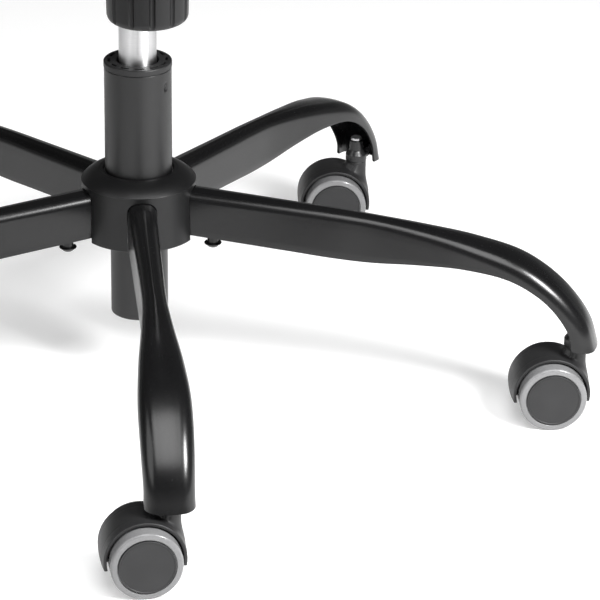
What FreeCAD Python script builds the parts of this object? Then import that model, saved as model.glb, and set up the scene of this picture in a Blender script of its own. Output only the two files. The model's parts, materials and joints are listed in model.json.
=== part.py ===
import FreeCAD, Part
import math
import os
from collections import namedtuple

# Pedestal of an office chair: a five-leg base on twin-wheel casters, a gas lift and a tilt mechanism.
# Millimetres, +Z up. The origin is on the floor under the column, and the front leg points along -Y.

V = FreeCAD.Vector
UP = V(0, 0, 1)
ORIGIN = V(0, 0, 0)
SAME_POINT = 1e-6

# Clearances shared by all fits
RUNNING_CLEARANCE = 0.05
SEAT_GAP = 0.2
SLIP_CLEARANCE = 0.3

# How far cutters run past the faces they cut
CUT_PAST = 1.0
CUT_FAR = 20.0

# Casters
WHEEL_R = 25.0
WHEEL_FACE_Y = 26.0
WHEEL_INNER_Y = 5.0
WHEEL_DISC_R = 19.8
WHEEL_DISC_THICKNESS = 1.6
WHEEL_DISC_EDGE = 0.8
WHEEL_RIM_R = 17.5
WHEEL_RIM_WALL = 2.5
WHEEL_RIM_SETBACK = 1.0
WHEEL_CAP_THICKNESS = 5.0
WHEEL_CAP_BACK = 1.0
WHEEL_HUB_R = 7.0
TREAD_SHOULDER_R = 4.8
TREAD_INNER_EDGE = 2.0
TREAD_LIP_GAP = 0.4
TREAD_FACE_SETBACK = 0.6
AXLE_R = 3.0
TRAIL = 18.5
HOOD_GAP = 1.3
HOOD_WALL = 2.3
HOOD_CROWN = 0.9
HOOD_RIM_Y = 22.6
HOOD_SKIRT_DEG = 11.0
HOOD_WEB_HALF = 3.6
NECK_R = 8.2
NECK_RISE = 3.8
STEM_R = 3.7
STEM_HEAD_R = 4.5
STEM_HEAD_HEIGHT = 2.2
STEM_HEAD_EDGE = 0.7
STEM_ROOT_DEPTH = 22.0

# Leg names with the rest angle of each caster's trail
CASTER_REST_DEG = {
    "front": 184.2,
    "right": 178.6,
    "back_right": 178.7,
    "back_left": 181.0,
    "left": 179.5,
}
FRONT_LEG_DEG = -90.0
LEG_PITCH_DEG = 360.0 / len(CASTER_REST_DEG)

# Sockets that take the caster stems at the leg ends
SOCKET_FLANGE_R = 8.7
SOCKET_FLANGE_HEIGHT = 5.5
SOCKET_TOP_R = 5.4
SOCKET_HEIGHT = 17.5
SOCKET_WEB_HALF = 5.0
SOCKET_WEB_HEIGHT = 9.0
STEM_INSET = 16.3

# Legs: pressed channels, open below, straight at the hub and flared where they curl down
LEG_REACH = 349.3
LEG_TIP_DROP = 0.4
LEG_WALL = 2.0
LEG_ROOT_R = 34.0
LEG_CROWN = 0.5
LegStation = namedtuple("LegStation", "r rise lean depth half_width corner")
# Root of the straight arm, with radius from the column axis and rise above the leg's tip
LEG_ARM_ROOT = LegStation(LEG_ROOT_R, 98.1, 4.2, 34.6, 10.7, 7.5)
LEG_ARM_STEPS = 4
# End of the straight arm, then its flare and curl, with radius back from the leg's reach
LEG_ARM_END = LegStation(-196.5, 91.0, 4.2, 36.4, 9.2, 7.3)
LEG_FLARE = (
    LegStation(-167.5, 88.6, 6.0, 34.8, 9.2, 7.3),
    LegStation(-130.5, 84.2, 8.0, 27.8, 11.8, 8.3),
    LegStation(-93.5, 77.9, 12.0, 20.1, 15.8, 9.6),
    LegStation(-55.5, 66.6, 20.3, 14.9, 18.6, 10.6),
    LegStation(-20.8, 40.7, 42.8, 13.2, 18.4, 10.6),
    LegStation(-5.6, 18.9, 55.0, 15.0, 17.6, 10.6),
    LegStation(0.0, 0.0, 96.0, 16.5, 17.8, 11.0),
)
LEG_CURL_STATIONS = 4

# Hub and its cover
TONGUE_END_R = 82.0
TONGUE_BASE_GAP = 0.6
SLEEVE_R = 28.5
HUB_HEIGHT = 47.5
COVER_RING_OUTER_R = 29.5
COVER_RING_GAP = 1.2
COVER_CREASE_R = 43.0
COVER_CREASE_DROP = 8.3
COVER_SKIRT_STEP = 0.4
COVER_SKIRT_FLARE = 1.2
COVER_HEIGHT = 50.7
COVER_WALL = 2.5
COVER_BULGE = 1.2
COVER_ABOVE_LEG = 11.6
SLOT_CLEARANCE = 0.5

# Screws that clamp the legs to the hub
SCREW_CIRCLE_R = 57.0
SCREW_R = 3.0
SCREW_NECK_R = 4.2
SCREW_NECK_LENGTH = 6.8
SCREW_HEAD_R = 6.5
SCREW_HEAD_HEIGHT = 3.6
SCREW_HEAD_RIM = 0.8
SCREW_DOME_SHARE_R = 0.72
SCREW_DOME_SHARE_Z = 0.3
SCREW_GRIP = 20.0
SCREW_SEAT_GAP = 0.4
CLAMP_LENGTH = 20.0
CLAMP_THICKNESS = 2.0
CLAMP_INSET = 0.3

# Column tube and its bush
COLUMN_R = 25.0
COLUMN_WALL = 2.0
COLUMN_LOWER_R = 21.5
COLUMN_TOP_Z = 248.5
COLUMN_BOTTOM_Z = 51.4
COLUMN_END_PLATE = 3.0
COLUMN_END_EDGE = 0.8
BUSH_LENGTH = 80.0
BUSH_FLANGE_PROUD = 0.3
BUSH_FLANGE_HEIGHT = 5.0
BUSH_EDGE_R = 1.0
BUSH_RECESS_R = 15.8
BUSH_RECESS_DEPTH = 6.0
BUSH_SLOT_COUNT = 12
BUSH_SLOT_R = 21.3
BUSH_SLOT_WIDTH = 2.2
BUSH_SLOT_DEG = 19.0
BUSH_SLOT_DEPTH = 2.0
CRIMP_COUNT = 2
CRIMP_BALL_R = 5.0
CRIMP_DEPTH = 0.8
CRIMP_BELOW_TOP = 11.5
CRIMP_FIRST_DEG = -39.0

# Gas lift
CYLINDER_R = 14.0
CYLINDER_WALL = 1.6
CYLINDER_HEAD = 20.0
CYLINDER_PROUD = 1.0
CYLINDER_TIP_EDGE = 0.5
TAPER_DROP = 0.6
LIFT_STROKE = 100.0
LIFT_SPARE = 4.0
ROD_R = 5.0
ROD_TAIL_R = 4.0
ROD_TAIL_LENGTH = 3.2
ROD_COLLAR_R = 9.0
ROD_COLLAR_HEIGHT = 4.0
CLIP_R = 8.5
CLIP_THICKNESS = 1.2
CLIP_MOUTH_SHARE = 0.7
BEARING_R = 13.0
BEARING_HEIGHT = 6.0
GLAND_INSET = 2.0
GLAND_HEIGHT = 16.0
PISTON_HEIGHT = 14.0
RELEASE_PIN_R = 3.5
RELEASE_PIN_LENGTH = 18.5
RELEASE_PIN_PROUD = 4.5
RELEASE_PIN_TIP = 0.8

# Tilt mechanism
HOUSING_FLOOR_Z = 392.0
HOUSING_HALF_WIDTH = 33.0
HOUSING_WALL = 2.5
HOUSING_BACK_Y = 62.0
HOUSING_NOSE = 22.0
HOUSING_RELIEF_DEG = 13.0
HOUSING_RELIEF_LEAD = 7.0
SOCKET_SLEEVE_R = 20.0
SOCKET_SLEEVE_BELOW = 8.0
SOCKET_SLEEVE_HEIGHT = 24.0
SEAT_UNDERSIDE_RISE = 48.0
SEAT_PLATE_THICKNESS = 3.0
SEAT_BOLTS_X = 150.0
SEAT_BOLTS_Y = 200.0
SEAT_BOLT_HOLE_R = 3.5
SEAT_BOLTS_CENTRE_Y = -25.0
SEAT_PLATE_MARGIN = 18.0
SEAT_PLATE_CORNER_R = 16.0
SEAT_WINDOW_X = 60.0
SEAT_WINDOW_Y = 40.0
SEAT_WINDOW_CENTRE_Y = 25.0
SEAT_WINDOW_CORNER_R = 12.0
TILT_PIVOT_Y = -45.0
TILT_PIVOT_BELOW_SEAT = 15.0
TILT_PIN_R = 5.0
TILT_PIN_HEAD_R = 7.5
TILT_PIN_HEAD = 2.0
EAR_THICKNESS = 3.0
EAR_HALF_WIDTH = 13.0

# Tension bolt, spring and knob
KNOB_Y = -127.0
KNOB_BOTTOM_Z = 330.8
KNOB_R = 29.2
KNOB_BOTTOM_R = 28.5
KNOB_HEIGHT = 36.0
KNOB_EDGE_R = 5.2
KNOB_TOP_EDGE_R = 2.0
KNOB_FLOOR = 12.0
KNOB_CAVITY_R = 20.5
FLUTE_COUNT = 12
FLUTE_R = 1.7
FLUTE_FIRST_DEG = 3.2
BOLT_R = 5.0
BOLT_END_RISE = 2.0
BOLT_HEAD_SIDES = 6
BOLT_HEAD_FLAT = 16.0
BOLT_HEAD_HEIGHT = 6.0
BOLT_SLOT_R = 13.5
SPRING_WIRE_R = 1.75
SPRING_MEAN_R = 16.5
SPRING_TURNS = 6
SPRING_GAP_SAMPLES = 24
SPRING_GAP_REACH = 6
SPRING_WASHER_R = 20.0
SPRING_WASHER_THICKNESS = 1.5

# Height lever
LEVER_R = 4.0
LEVER_PIVOT_X = -25.5
LEVER_INNER_X = 5.0
LEVER_LENGTH = 175.0
LEVER_PIN_R = 2.0
LUG_THICKNESS = 4.0
LUG_GAP = 1.0
LUG_HALF_WIDTH = 4.0
LEVER_WINDOW_HALF_WIDTH = 5.0
LEVER_WINDOW_HALF_HEIGHT = 7.0
GRIP_LENGTH = 70.0
GRIP_OVERLAP = 30.0
GRIP_HALF_WIDTH = 13.0
GRIP_HALF_THICKNESS = 6.0
GRIP_NECK_WALL = 2.5
GRIP_NECK_WIDEN = 1.0
GRIP_BELLY_SHARE = 0.45
GRIP_END_SHARE = 0.8

# Places worked out from the sizes above
HOOD_INNER_R = WHEEL_R + HOOD_GAP
HOOD_RIM_R = HOOD_INNER_R + HOOD_WALL
HOOD_R = HOOD_RIM_R + HOOD_CROWN
NECK_TOP_Z = WHEEL_R + HOOD_R + NECK_RISE
SOCKET_BOTTOM_Z = NECK_TOP_Z + SEAT_GAP
STEM_CIRCLE_R = LEG_REACH - STEM_INSET
CLAMP_TOP_ABOVE_FOOT = CLAMP_INSET + CLAMP_THICKNESS
LEG_TIP_Z = SOCKET_BOTTOM_Z - LEG_TIP_DROP
COVER_TOP_Z = LEG_TIP_Z + LEG_ARM_ROOT.rise + COVER_ABOVE_LEG
HUB_TOP_Z = COVER_TOP_Z - COVER_WALL
HUB_BOTTOM_Z = HUB_TOP_Z - HUB_HEIGHT
BEARING_Z = COLUMN_BOTTOM_Z + COLUMN_END_PLATE
COLLAR_Z = BEARING_Z + BEARING_HEIGHT
CYLINDER_BOTTOM_Z = COLLAR_Z + ROD_COLLAR_HEIGHT + LIFT_SPARE + LIFT_STROKE
GLAND_TOP_Z = CYLINDER_BOTTOM_Z + GLAND_INSET + GLAND_HEIGHT
CYLINDER_BORE_R = CYLINDER_R - CYLINDER_WALL
SLEEVE_BOTTOM_Z = HOUSING_FLOOR_Z - SOCKET_SLEEVE_BELOW
SLEEVE_TOP_Z = SLEEVE_BOTTOM_Z + SOCKET_SLEEVE_HEIGHT
CYLINDER_TOP_Z = SLEEVE_TOP_Z + CYLINDER_PROUD
RELEASE_PIN_TOP_Z = CYLINDER_TOP_Z + RELEASE_PIN_PROUD
LEVER_Z = RELEASE_PIN_TOP_Z + SEAT_GAP + LEVER_R
SEAT_UNDERSIDE_Z = HOUSING_FLOOR_Z + SEAT_UNDERSIDE_RISE
HOUSING_TOP_Z = SEAT_UNDERSIDE_Z - SEAT_GAP
TILT_PIVOT_Z = SEAT_UNDERSIDE_Z - TILT_PIVOT_BELOW_SEAT
EAR_INNER_X = HOUSING_HALF_WIDTH + SLIP_CLEARANCE
HOUSING_FRONT_Y = KNOB_Y - HOUSING_NOSE
KNOB_FLOOR_Z = KNOB_BOTTOM_Z + KNOB_FLOOR


def closed_wire(points, place):
    """Closed wire through points; a point is (a, b), or (mid, end) where an arc leads to it."""
    first = points[0]
    edges = []
    here = place(*first)
    for point in list(points[1:]) + [first]:
        if isinstance(point[0], tuple):
            middle = place(*point[0])
            there = place(*point[1])
            edges.append(Part.Arc(here, middle, there).toShape())
        else:
            there = place(*point)
            if (there - here).Length > SAME_POINT:
                edges.append(Part.LineSegment(here, there).toShape())
        here = there
    return Part.Wire(edges)


def round_corner(centre, radius, from_deg, to_deg):
    """Arc step (middle, end) of a rounded corner in profile coordinates."""
    def at(angle):
        turn = math.radians(angle)
        return (centre[0] + radius * math.cos(turn), centre[1] + radius * math.sin(turn))
    return (at(0.5 * (from_deg + to_deg)), at(to_deg))


def turned(points):
    """Solid turned about Z from a closed profile of (radius, z) points."""
    wire = closed_wire(points, lambda r, z: V(r, 0, z))
    return Part.Face(wire).revolve(ORIGIN, UP, 360)


def rod(radius, bottom, top, x=0.0, y=0.0):
    """Upright round bar."""
    return Part.makeCylinder(radius, top - bottom, V(x, y, bottom))


def ring(outer, inner, bottom, top, x=0.0, y=0.0):
    """Upright ring."""
    return rod(outer, bottom, top, x, y).cut(rod(inner, bottom - CUT_PAST, top + CUT_PAST, x, y))


def block(x0, x1, y0, y1, z0, z1):
    """Box between two corners."""
    return Part.makeBox(x1 - x0, y1 - y0, z1 - z0, V(x0, y0, z0))


def rounded_plate(half_x, half_y, corner, bottom, thickness, centre_y):
    """Flat plate with rounded corners."""
    flat_x = half_x - corner
    flat_y = half_y - corner
    points = [
        (-half_x, -flat_y),
        (-half_x, flat_y),
        round_corner((-flat_x, flat_y), corner, 180, 90),
        (flat_x, half_y),
        round_corner((flat_x, flat_y), corner, 90, 0),
        (half_x, -flat_y),
        round_corner((flat_x, -flat_y), corner, 0, -90),
        (-flat_x, -half_y),
        round_corner((-flat_x, -flat_y), corner, -90, -180),
    ]
    wire = closed_wire(points, lambda x, y: V(x, centre_y + y, bottom))
    return Part.Face(wire).extrude(V(0, 0, thickness))


def around(shape, angle):
    """Copy of a shape turned about the column axis."""
    copy = shape.copy()
    copy.rotate(ORIGIN, UP, angle)
    return copy


def leg_angles():
    """Leg names with their angles about the column."""
    return [(name, FRONT_LEG_DEG + i * LEG_PITCH_DEG) for i, name in enumerate(CASTER_REST_DEG)]


# Legs

def from_reach(station):
    """Section with its radius from the column axis instead of the leg's reach."""
    return station._replace(r=LEG_REACH + station.r)


def arm_station(radius):
    """Section of the straight arm at any radius."""
    end = from_reach(LEG_ARM_END)
    share = (radius - LEG_ARM_ROOT.r) / (end.r - LEG_ARM_ROOT.r)
    values = [a + share * (b - a) for a, b in zip(LEG_ARM_ROOT, end)]
    return LegStation(*values)


def leg_stations():
    """Sections of one leg from the hub to its tip, with real radii."""
    step = (from_reach(LEG_ARM_END).r - LEG_ARM_ROOT.r) / LEG_ARM_STEPS
    arm = [arm_station(LEG_ARM_ROOT.r + i * step) for i in range(LEG_ARM_STEPS + 1)]
    flare = [from_reach(station) for station in LEG_FLARE]
    return arm + flare


def section_place(station):
    """Map (across, depth) in a leg section to space, for a leg along +X."""
    lean = math.radians(station.lean)
    ridge_z = LEG_TIP_Z + station.rise

    def place(across, depth):
        return V(station.r - depth * math.sin(lean), across, ridge_z - depth * math.cos(lean))
    return place


def arch(station, inset, depth):
    """Profile steps over the top of a leg section, from the left wall's foot to the right's."""
    half = station.half_width - inset
    corner = station.corner - inset
    flat = half - corner
    shoulder = inset + LEG_CROWN + corner
    return [
        (-half, depth),
        (-half, shoulder),
        round_corner((-flat, shoulder), corner, 180, 270),
        ((0.0, inset), (flat, inset + LEG_CROWN)),
        round_corner((flat, shoulder), corner, 270, 360),
        (half, depth),
    ]


def channel_wire(station):
    """Closed outline of the pressed channel."""
    outer = arch(station, 0.0, station.depth)
    half = station.half_width - LEG_WALL
    corner = station.corner - LEG_WALL
    flat = half - corner
    shoulder = LEG_WALL + LEG_CROWN + corner
    inner = [
        (half, station.depth),
        (half, shoulder),
        round_corner((flat, shoulder), corner, 0, -90),
        ((0.0, LEG_WALL), (-flat, LEG_WALL + LEG_CROWN)),
        round_corner((-flat, shoulder), corner, -90, -180),
        (-half, station.depth),
    ]
    return closed_wire(outer + inner, section_place(station))


def bar_wire(station, inset, depth):
    """Closed outline of what fills a channel, drawn in by an inset."""
    return closed_wire(arch(station, inset, depth), section_place(station))


def foot_block(lengthen, inset, top, bottom):
    """Block across the feet of the leg along +X at its screw, between two heights above their edge."""
    reach = CLAMP_LENGTH / 2 + lengthen
    wires = []
    for radius in (SCREW_CIRCLE_R - reach, SCREW_CIRCLE_R + reach):
        station = arm_station(radius)
        half = station.half_width - inset
        corners = [
            (-half, station.depth - top),
            (half, station.depth - top),
            (half, station.depth - bottom),
            (-half, station.depth - bottom),
        ]
        wires.append(closed_wire(corners, section_place(station)))
    return Part.makeLoft(wires, True, True)


def leg():
    """One pressed leg along +X, its feet notched for the clamp plate."""
    bar = Part.makeLoft([channel_wire(station) for station in leg_stations()], True, False)
    notch_top = CLAMP_TOP_ABOVE_FOOT + RUNNING_CLEARANCE
    return bar.cut(foot_block(SLIP_CLEARANCE, -CUT_PAST, notch_top, -CUT_PAST))


def leg_cavity():
    """Space inside the curled end of a leg, clear of its walls."""
    inset = LEG_WALL + RUNNING_CLEARANCE
    wires = [bar_wire(station, inset, station.depth) for station in leg_stations()[-LEG_CURL_STATIONS:]]
    return Part.makeLoft(wires, True, False)


def socket():
    """Stem socket of the leg along +X, with the web that ties it into the leg's end."""
    flange_top = SOCKET_BOTTOM_Z + SOCKET_FLANGE_HEIGHT
    top = SOCKET_BOTTOM_Z + SOCKET_HEIGHT
    body = turned([
        (STEM_R + RUNNING_CLEARANCE, SOCKET_BOTTOM_Z),
        (SOCKET_FLANGE_R, SOCKET_BOTTOM_Z),
        (SOCKET_FLANGE_R, flange_top),
        (SOCKET_TOP_R, top),
        (STEM_R + RUNNING_CLEARANCE, top),
    ])
    body.translate(V(STEM_CIRCLE_R, 0, 0))
    web = block(
        STEM_CIRCLE_R, LEG_REACH, -SOCKET_WEB_HALF, SOCKET_WEB_HALF,
        SOCKET_BOTTOM_Z, SOCKET_BOTTOM_Z + SOCKET_WEB_HEIGHT,
    )
    web = web.common(leg_cavity())
    bore = rod(STEM_R + RUNNING_CLEARANCE, SOCKET_BOTTOM_Z - CUT_PAST, top + CUT_PAST, STEM_CIRCLE_R)
    return body.fuse(web).removeSplitter().cut(bore)


# Hub

def column_cone(grow):
    """Tapered stretch of the column inside the hub, grown by a clearance."""
    return Part.makeCone(COLUMN_LOWER_R + grow, COLUMN_R + grow, HUB_HEIGHT, V(0, 0, HUB_BOTTOM_Z))


def hub():
    """Hub casting: a tapered sleeve with a tongue for each leg."""
    body = rod(SLEEVE_R, HUB_BOTTOM_Z, HUB_TOP_Z)
    inset = LEG_WALL + SLIP_CLEARANCE
    ends = [arm_station(COLUMN_LOWER_R), arm_station(TONGUE_END_R)]
    wires = [bar_wire(end, inset, end.depth - CLAMP_TOP_ABOVE_FOOT - TONGUE_BASE_GAP) for end in ends]
    tongue = Part.makeLoft(wires, True, True)
    hole_top = screw_seat_z() + SCREW_GRIP + CUT_PAST
    tongue = tongue.cut(rod(SCREW_R + RUNNING_CLEARANCE, HUB_BOTTOM_Z - CUT_FAR, hole_top, SCREW_CIRCLE_R))
    for _, angle in leg_angles():
        body = body.fuse(around(tongue, angle))
    return body.removeSplitter().cut(column_cone(RUNNING_CLEARANCE))


def hub_cover():
    """Moulded cover over the hub, slotted for the legs."""
    top = COVER_TOP_Z
    crease = top - COVER_CREASE_DROP
    bottom = top - COVER_HEIGHT
    hole = COLUMN_R + COVER_RING_GAP
    skirt_top_r = COVER_CREASE_R - COVER_SKIRT_STEP
    skirt_r = skirt_top_r + COVER_SKIRT_FLARE
    mid_r = 0.5 * (COVER_RING_OUTER_R + COVER_CREASE_R) + 0.5 * COVER_BULGE
    mid_z = 0.5 * (top + crease) + COVER_BULGE
    wall = COVER_WALL
    shell = turned([
        (hole, top - wall),
        (hole, top),
        (COVER_RING_OUTER_R, top),
        ((mid_r, mid_z), (COVER_CREASE_R, crease)),
        (skirt_top_r, crease - COVER_SKIRT_STEP),
        (skirt_r, bottom),
        (skirt_r - wall, bottom),
        (skirt_top_r - wall, crease - COVER_SKIRT_STEP - wall),
        (SLEEVE_R + SLIP_CLEARANCE, top - wall),
    ])
    ends = [arm_station(SLEEVE_R), arm_station(COVER_CREASE_R + CUT_FAR)]
    slot = Part.makeLoft([bar_wire(end, -SLOT_CLEARANCE, COVER_HEIGHT + CUT_FAR) for end in ends], True, True)
    for _, angle in leg_angles():
        shell = shell.cut(around(slot, angle))
    return shell


def screw_seat_z():
    """Height of the clamp plate's underside at the leg screw."""
    setback = (LEG_ARM_ROOT.depth - CLAMP_INSET) * math.sin(math.radians(LEG_ARM_ROOT.lean))
    station = arm_station(SCREW_CIRCLE_R + setback)
    return section_place(station)(0, station.depth - CLAMP_INSET).z


def leg_screw():
    """Domed screw below the leg along +X."""
    seat = screw_seat_z() - SCREW_SEAT_GAP
    head_top = seat - SCREW_NECK_LENGTH
    head_bottom = head_top - SCREW_HEAD_HEIGHT
    dome = (SCREW_DOME_SHARE_R * SCREW_HEAD_R, head_bottom + SCREW_DOME_SHARE_Z * SCREW_HEAD_HEIGHT)
    screw = turned([
        (0, head_bottom),
        (dome, (SCREW_HEAD_R, head_top - SCREW_HEAD_RIM)),
        (SCREW_HEAD_R, head_top),
        (SCREW_NECK_R, head_top),
        (SCREW_NECK_R, seat),
        (SCREW_R, seat),
        (SCREW_R, seat + SCREW_GRIP),
        (0, seat + SCREW_GRIP),
    ])
    screw.translate(V(SCREW_CIRCLE_R, 0, 0))
    return screw


def clamp_plate():
    """Plate that the screw draws up against the notched feet of the leg along +X."""
    plate = foot_block(0.0, CLAMP_INSET, CLAMP_TOP_ABOVE_FOOT, CLAMP_INSET)
    hole = rod(SCREW_R + SLIP_CLEARANCE, HUB_BOTTOM_Z - CUT_FAR, HUB_TOP_Z, SCREW_CIRCLE_R)
    return plate.cut(hole)


# Column

def column_tube():
    """Outer tube of the lift, tapered through the hub and closed by an end plate."""
    wall = COLUMN_WALL
    tube = turned([
        (ROD_TAIL_R + RUNNING_CLEARANCE, COLUMN_BOTTOM_Z),
        (COLUMN_LOWER_R - COLUMN_END_EDGE, COLUMN_BOTTOM_Z),
        (COLUMN_LOWER_R, COLUMN_BOTTOM_Z + COLUMN_END_EDGE),
        (COLUMN_LOWER_R, HUB_BOTTOM_Z),
        (COLUMN_R, HUB_TOP_Z),
        (COLUMN_R, COLUMN_TOP_Z),
        (COLUMN_R - wall, COLUMN_TOP_Z),
        (COLUMN_R - wall, HUB_TOP_Z),
        (COLUMN_LOWER_R - wall, HUB_BOTTOM_Z),
        (COLUMN_LOWER_R - wall, BEARING_Z),
        (ROD_TAIL_R + RUNNING_CLEARANCE, BEARING_Z),
    ])
    ball_r = COLUMN_R + CRIMP_BALL_R - CRIMP_DEPTH
    ball = Part.makeSphere(CRIMP_BALL_R, V(ball_r, 0, COLUMN_TOP_Z - CRIMP_BELOW_TOP))
    for i in range(CRIMP_COUNT):
        tube = tube.cut(around(ball, CRIMP_FIRST_DEG + i * 360.0 / CRIMP_COUNT))
    return tube


def column_bush():
    """Plastic guide bush with a slotted flange on top of the tube."""
    flange_r = COLUMN_R + BUSH_FLANGE_PROUD
    flange_top = COLUMN_TOP_Z + BUSH_FLANGE_HEIGHT
    sleeve_r = COLUMN_R - COLUMN_WALL - RUNNING_CLEARANCE
    bore = CYLINDER_R + RUNNING_CLEARANCE
    bush = turned([
        (bore, COLUMN_TOP_Z - BUSH_LENGTH),
        (sleeve_r, COLUMN_TOP_Z - BUSH_LENGTH),
        (sleeve_r, COLUMN_TOP_Z),
        (flange_r, COLUMN_TOP_Z),
        (flange_r, flange_top - BUSH_EDGE_R),
        round_corner((flange_r - BUSH_EDGE_R, flange_top - BUSH_EDGE_R), BUSH_EDGE_R, 0, 90),
        (BUSH_RECESS_R, flange_top),
        (BUSH_RECESS_R, flange_top - BUSH_RECESS_DEPTH),
        (bore, flange_top - BUSH_RECESS_DEPTH),
    ])
    inner = BUSH_SLOT_R - BUSH_SLOT_WIDTH / 2
    slot_section = [
        (inner, flange_top - BUSH_SLOT_DEPTH),
        (inner + BUSH_SLOT_WIDTH, flange_top - BUSH_SLOT_DEPTH),
        (inner + BUSH_SLOT_WIDTH, flange_top + CUT_PAST),
        (inner, flange_top + CUT_PAST),
    ]
    face = Part.Face(closed_wire(slot_section, lambda r, z: V(r, 0, z)))
    slot = face.revolve(ORIGIN, UP, BUSH_SLOT_DEG)
    for i in range(BUSH_SLOT_COUNT):
        start = FRONT_LEG_DEG - BUSH_SLOT_DEG / 2 + i * 360.0 / BUSH_SLOT_COUNT
        bush = bush.cut(around(slot, start))
    return bush


# Gas lift

def thrust_bearing():
    """Bearing ring that the rod's collar turns on."""
    return ring(BEARING_R, ROD_TAIL_R + SLIP_CLEARANCE, BEARING_Z, COLLAR_Z - RUNNING_CLEARANCE)


def piston_rod():
    """Rod with its collar on the bearing and its piston inside the cylinder."""
    piston_bottom = GLAND_TOP_Z + SLIP_CLEARANCE
    piston_top = piston_bottom + PISTON_HEIGHT
    return turned([
        (0, COLUMN_BOTTOM_Z - ROD_TAIL_LENGTH),
        (ROD_TAIL_R, COLUMN_BOTTOM_Z - ROD_TAIL_LENGTH),
        (ROD_TAIL_R, COLLAR_Z),
        (ROD_COLLAR_R, COLLAR_Z),
        (ROD_COLLAR_R, COLLAR_Z + ROD_COLLAR_HEIGHT),
        (ROD_R, COLLAR_Z + ROD_COLLAR_HEIGHT),
        (ROD_R, piston_bottom),
        (CYLINDER_BORE_R - RUNNING_CLEARANCE, piston_bottom),
        (CYLINDER_BORE_R - RUNNING_CLEARANCE, piston_top),
        (0, piston_top),
    ])


def rod_clip():
    """Spring clip that holds the rod below the end plate."""
    top = COLUMN_BOTTOM_Z - SEAT_GAP
    clip = ring(CLIP_R, ROD_TAIL_R, top - CLIP_THICKNESS, top)
    half = CLIP_MOUTH_SHARE * ROD_TAIL_R
    mouth = block(0, CLIP_R + CUT_PAST, -half, half, top - CLIP_THICKNESS - CUT_PAST, top + CUT_PAST)
    return clip.cut(mouth)


def gas_cylinder():
    """Pressure cylinder with a tapered head that carries the release pin."""
    head_bottom = CYLINDER_TOP_Z - CYLINDER_HEAD
    pin_r = RELEASE_PIN_R + RUNNING_CLEARANCE
    return turned([
        (CYLINDER_BORE_R, CYLINDER_BOTTOM_Z),
        (CYLINDER_R, CYLINDER_BOTTOM_Z),
        (CYLINDER_R, SLEEVE_BOTTOM_Z),
        (CYLINDER_R - TAPER_DROP, SLEEVE_TOP_Z),
        (CYLINDER_R - TAPER_DROP - CYLINDER_TIP_EDGE, CYLINDER_TOP_Z),
        (pin_r, CYLINDER_TOP_Z),
        (pin_r, head_bottom),
        (CYLINDER_BORE_R, head_bottom),
    ])


def cylinder_gland():
    """Guide and seal ring at the cylinder's lower end."""
    return ring(
        CYLINDER_BORE_R - RUNNING_CLEARANCE, ROD_R + RUNNING_CLEARANCE,
        CYLINDER_BOTTOM_Z + GLAND_INSET, GLAND_TOP_Z,
    )


def release_pin():
    """Valve pin that the lever presses."""
    tip = RELEASE_PIN_TIP
    return turned([
        (0, RELEASE_PIN_TOP_Z - RELEASE_PIN_LENGTH),
        (RELEASE_PIN_R, RELEASE_PIN_TOP_Z - RELEASE_PIN_LENGTH),
        (RELEASE_PIN_R, RELEASE_PIN_TOP_Z - tip),
        (RELEASE_PIN_R - tip, RELEASE_PIN_TOP_Z),
        (0, RELEASE_PIN_TOP_Z),
    ])


# Tilt mechanism

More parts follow.
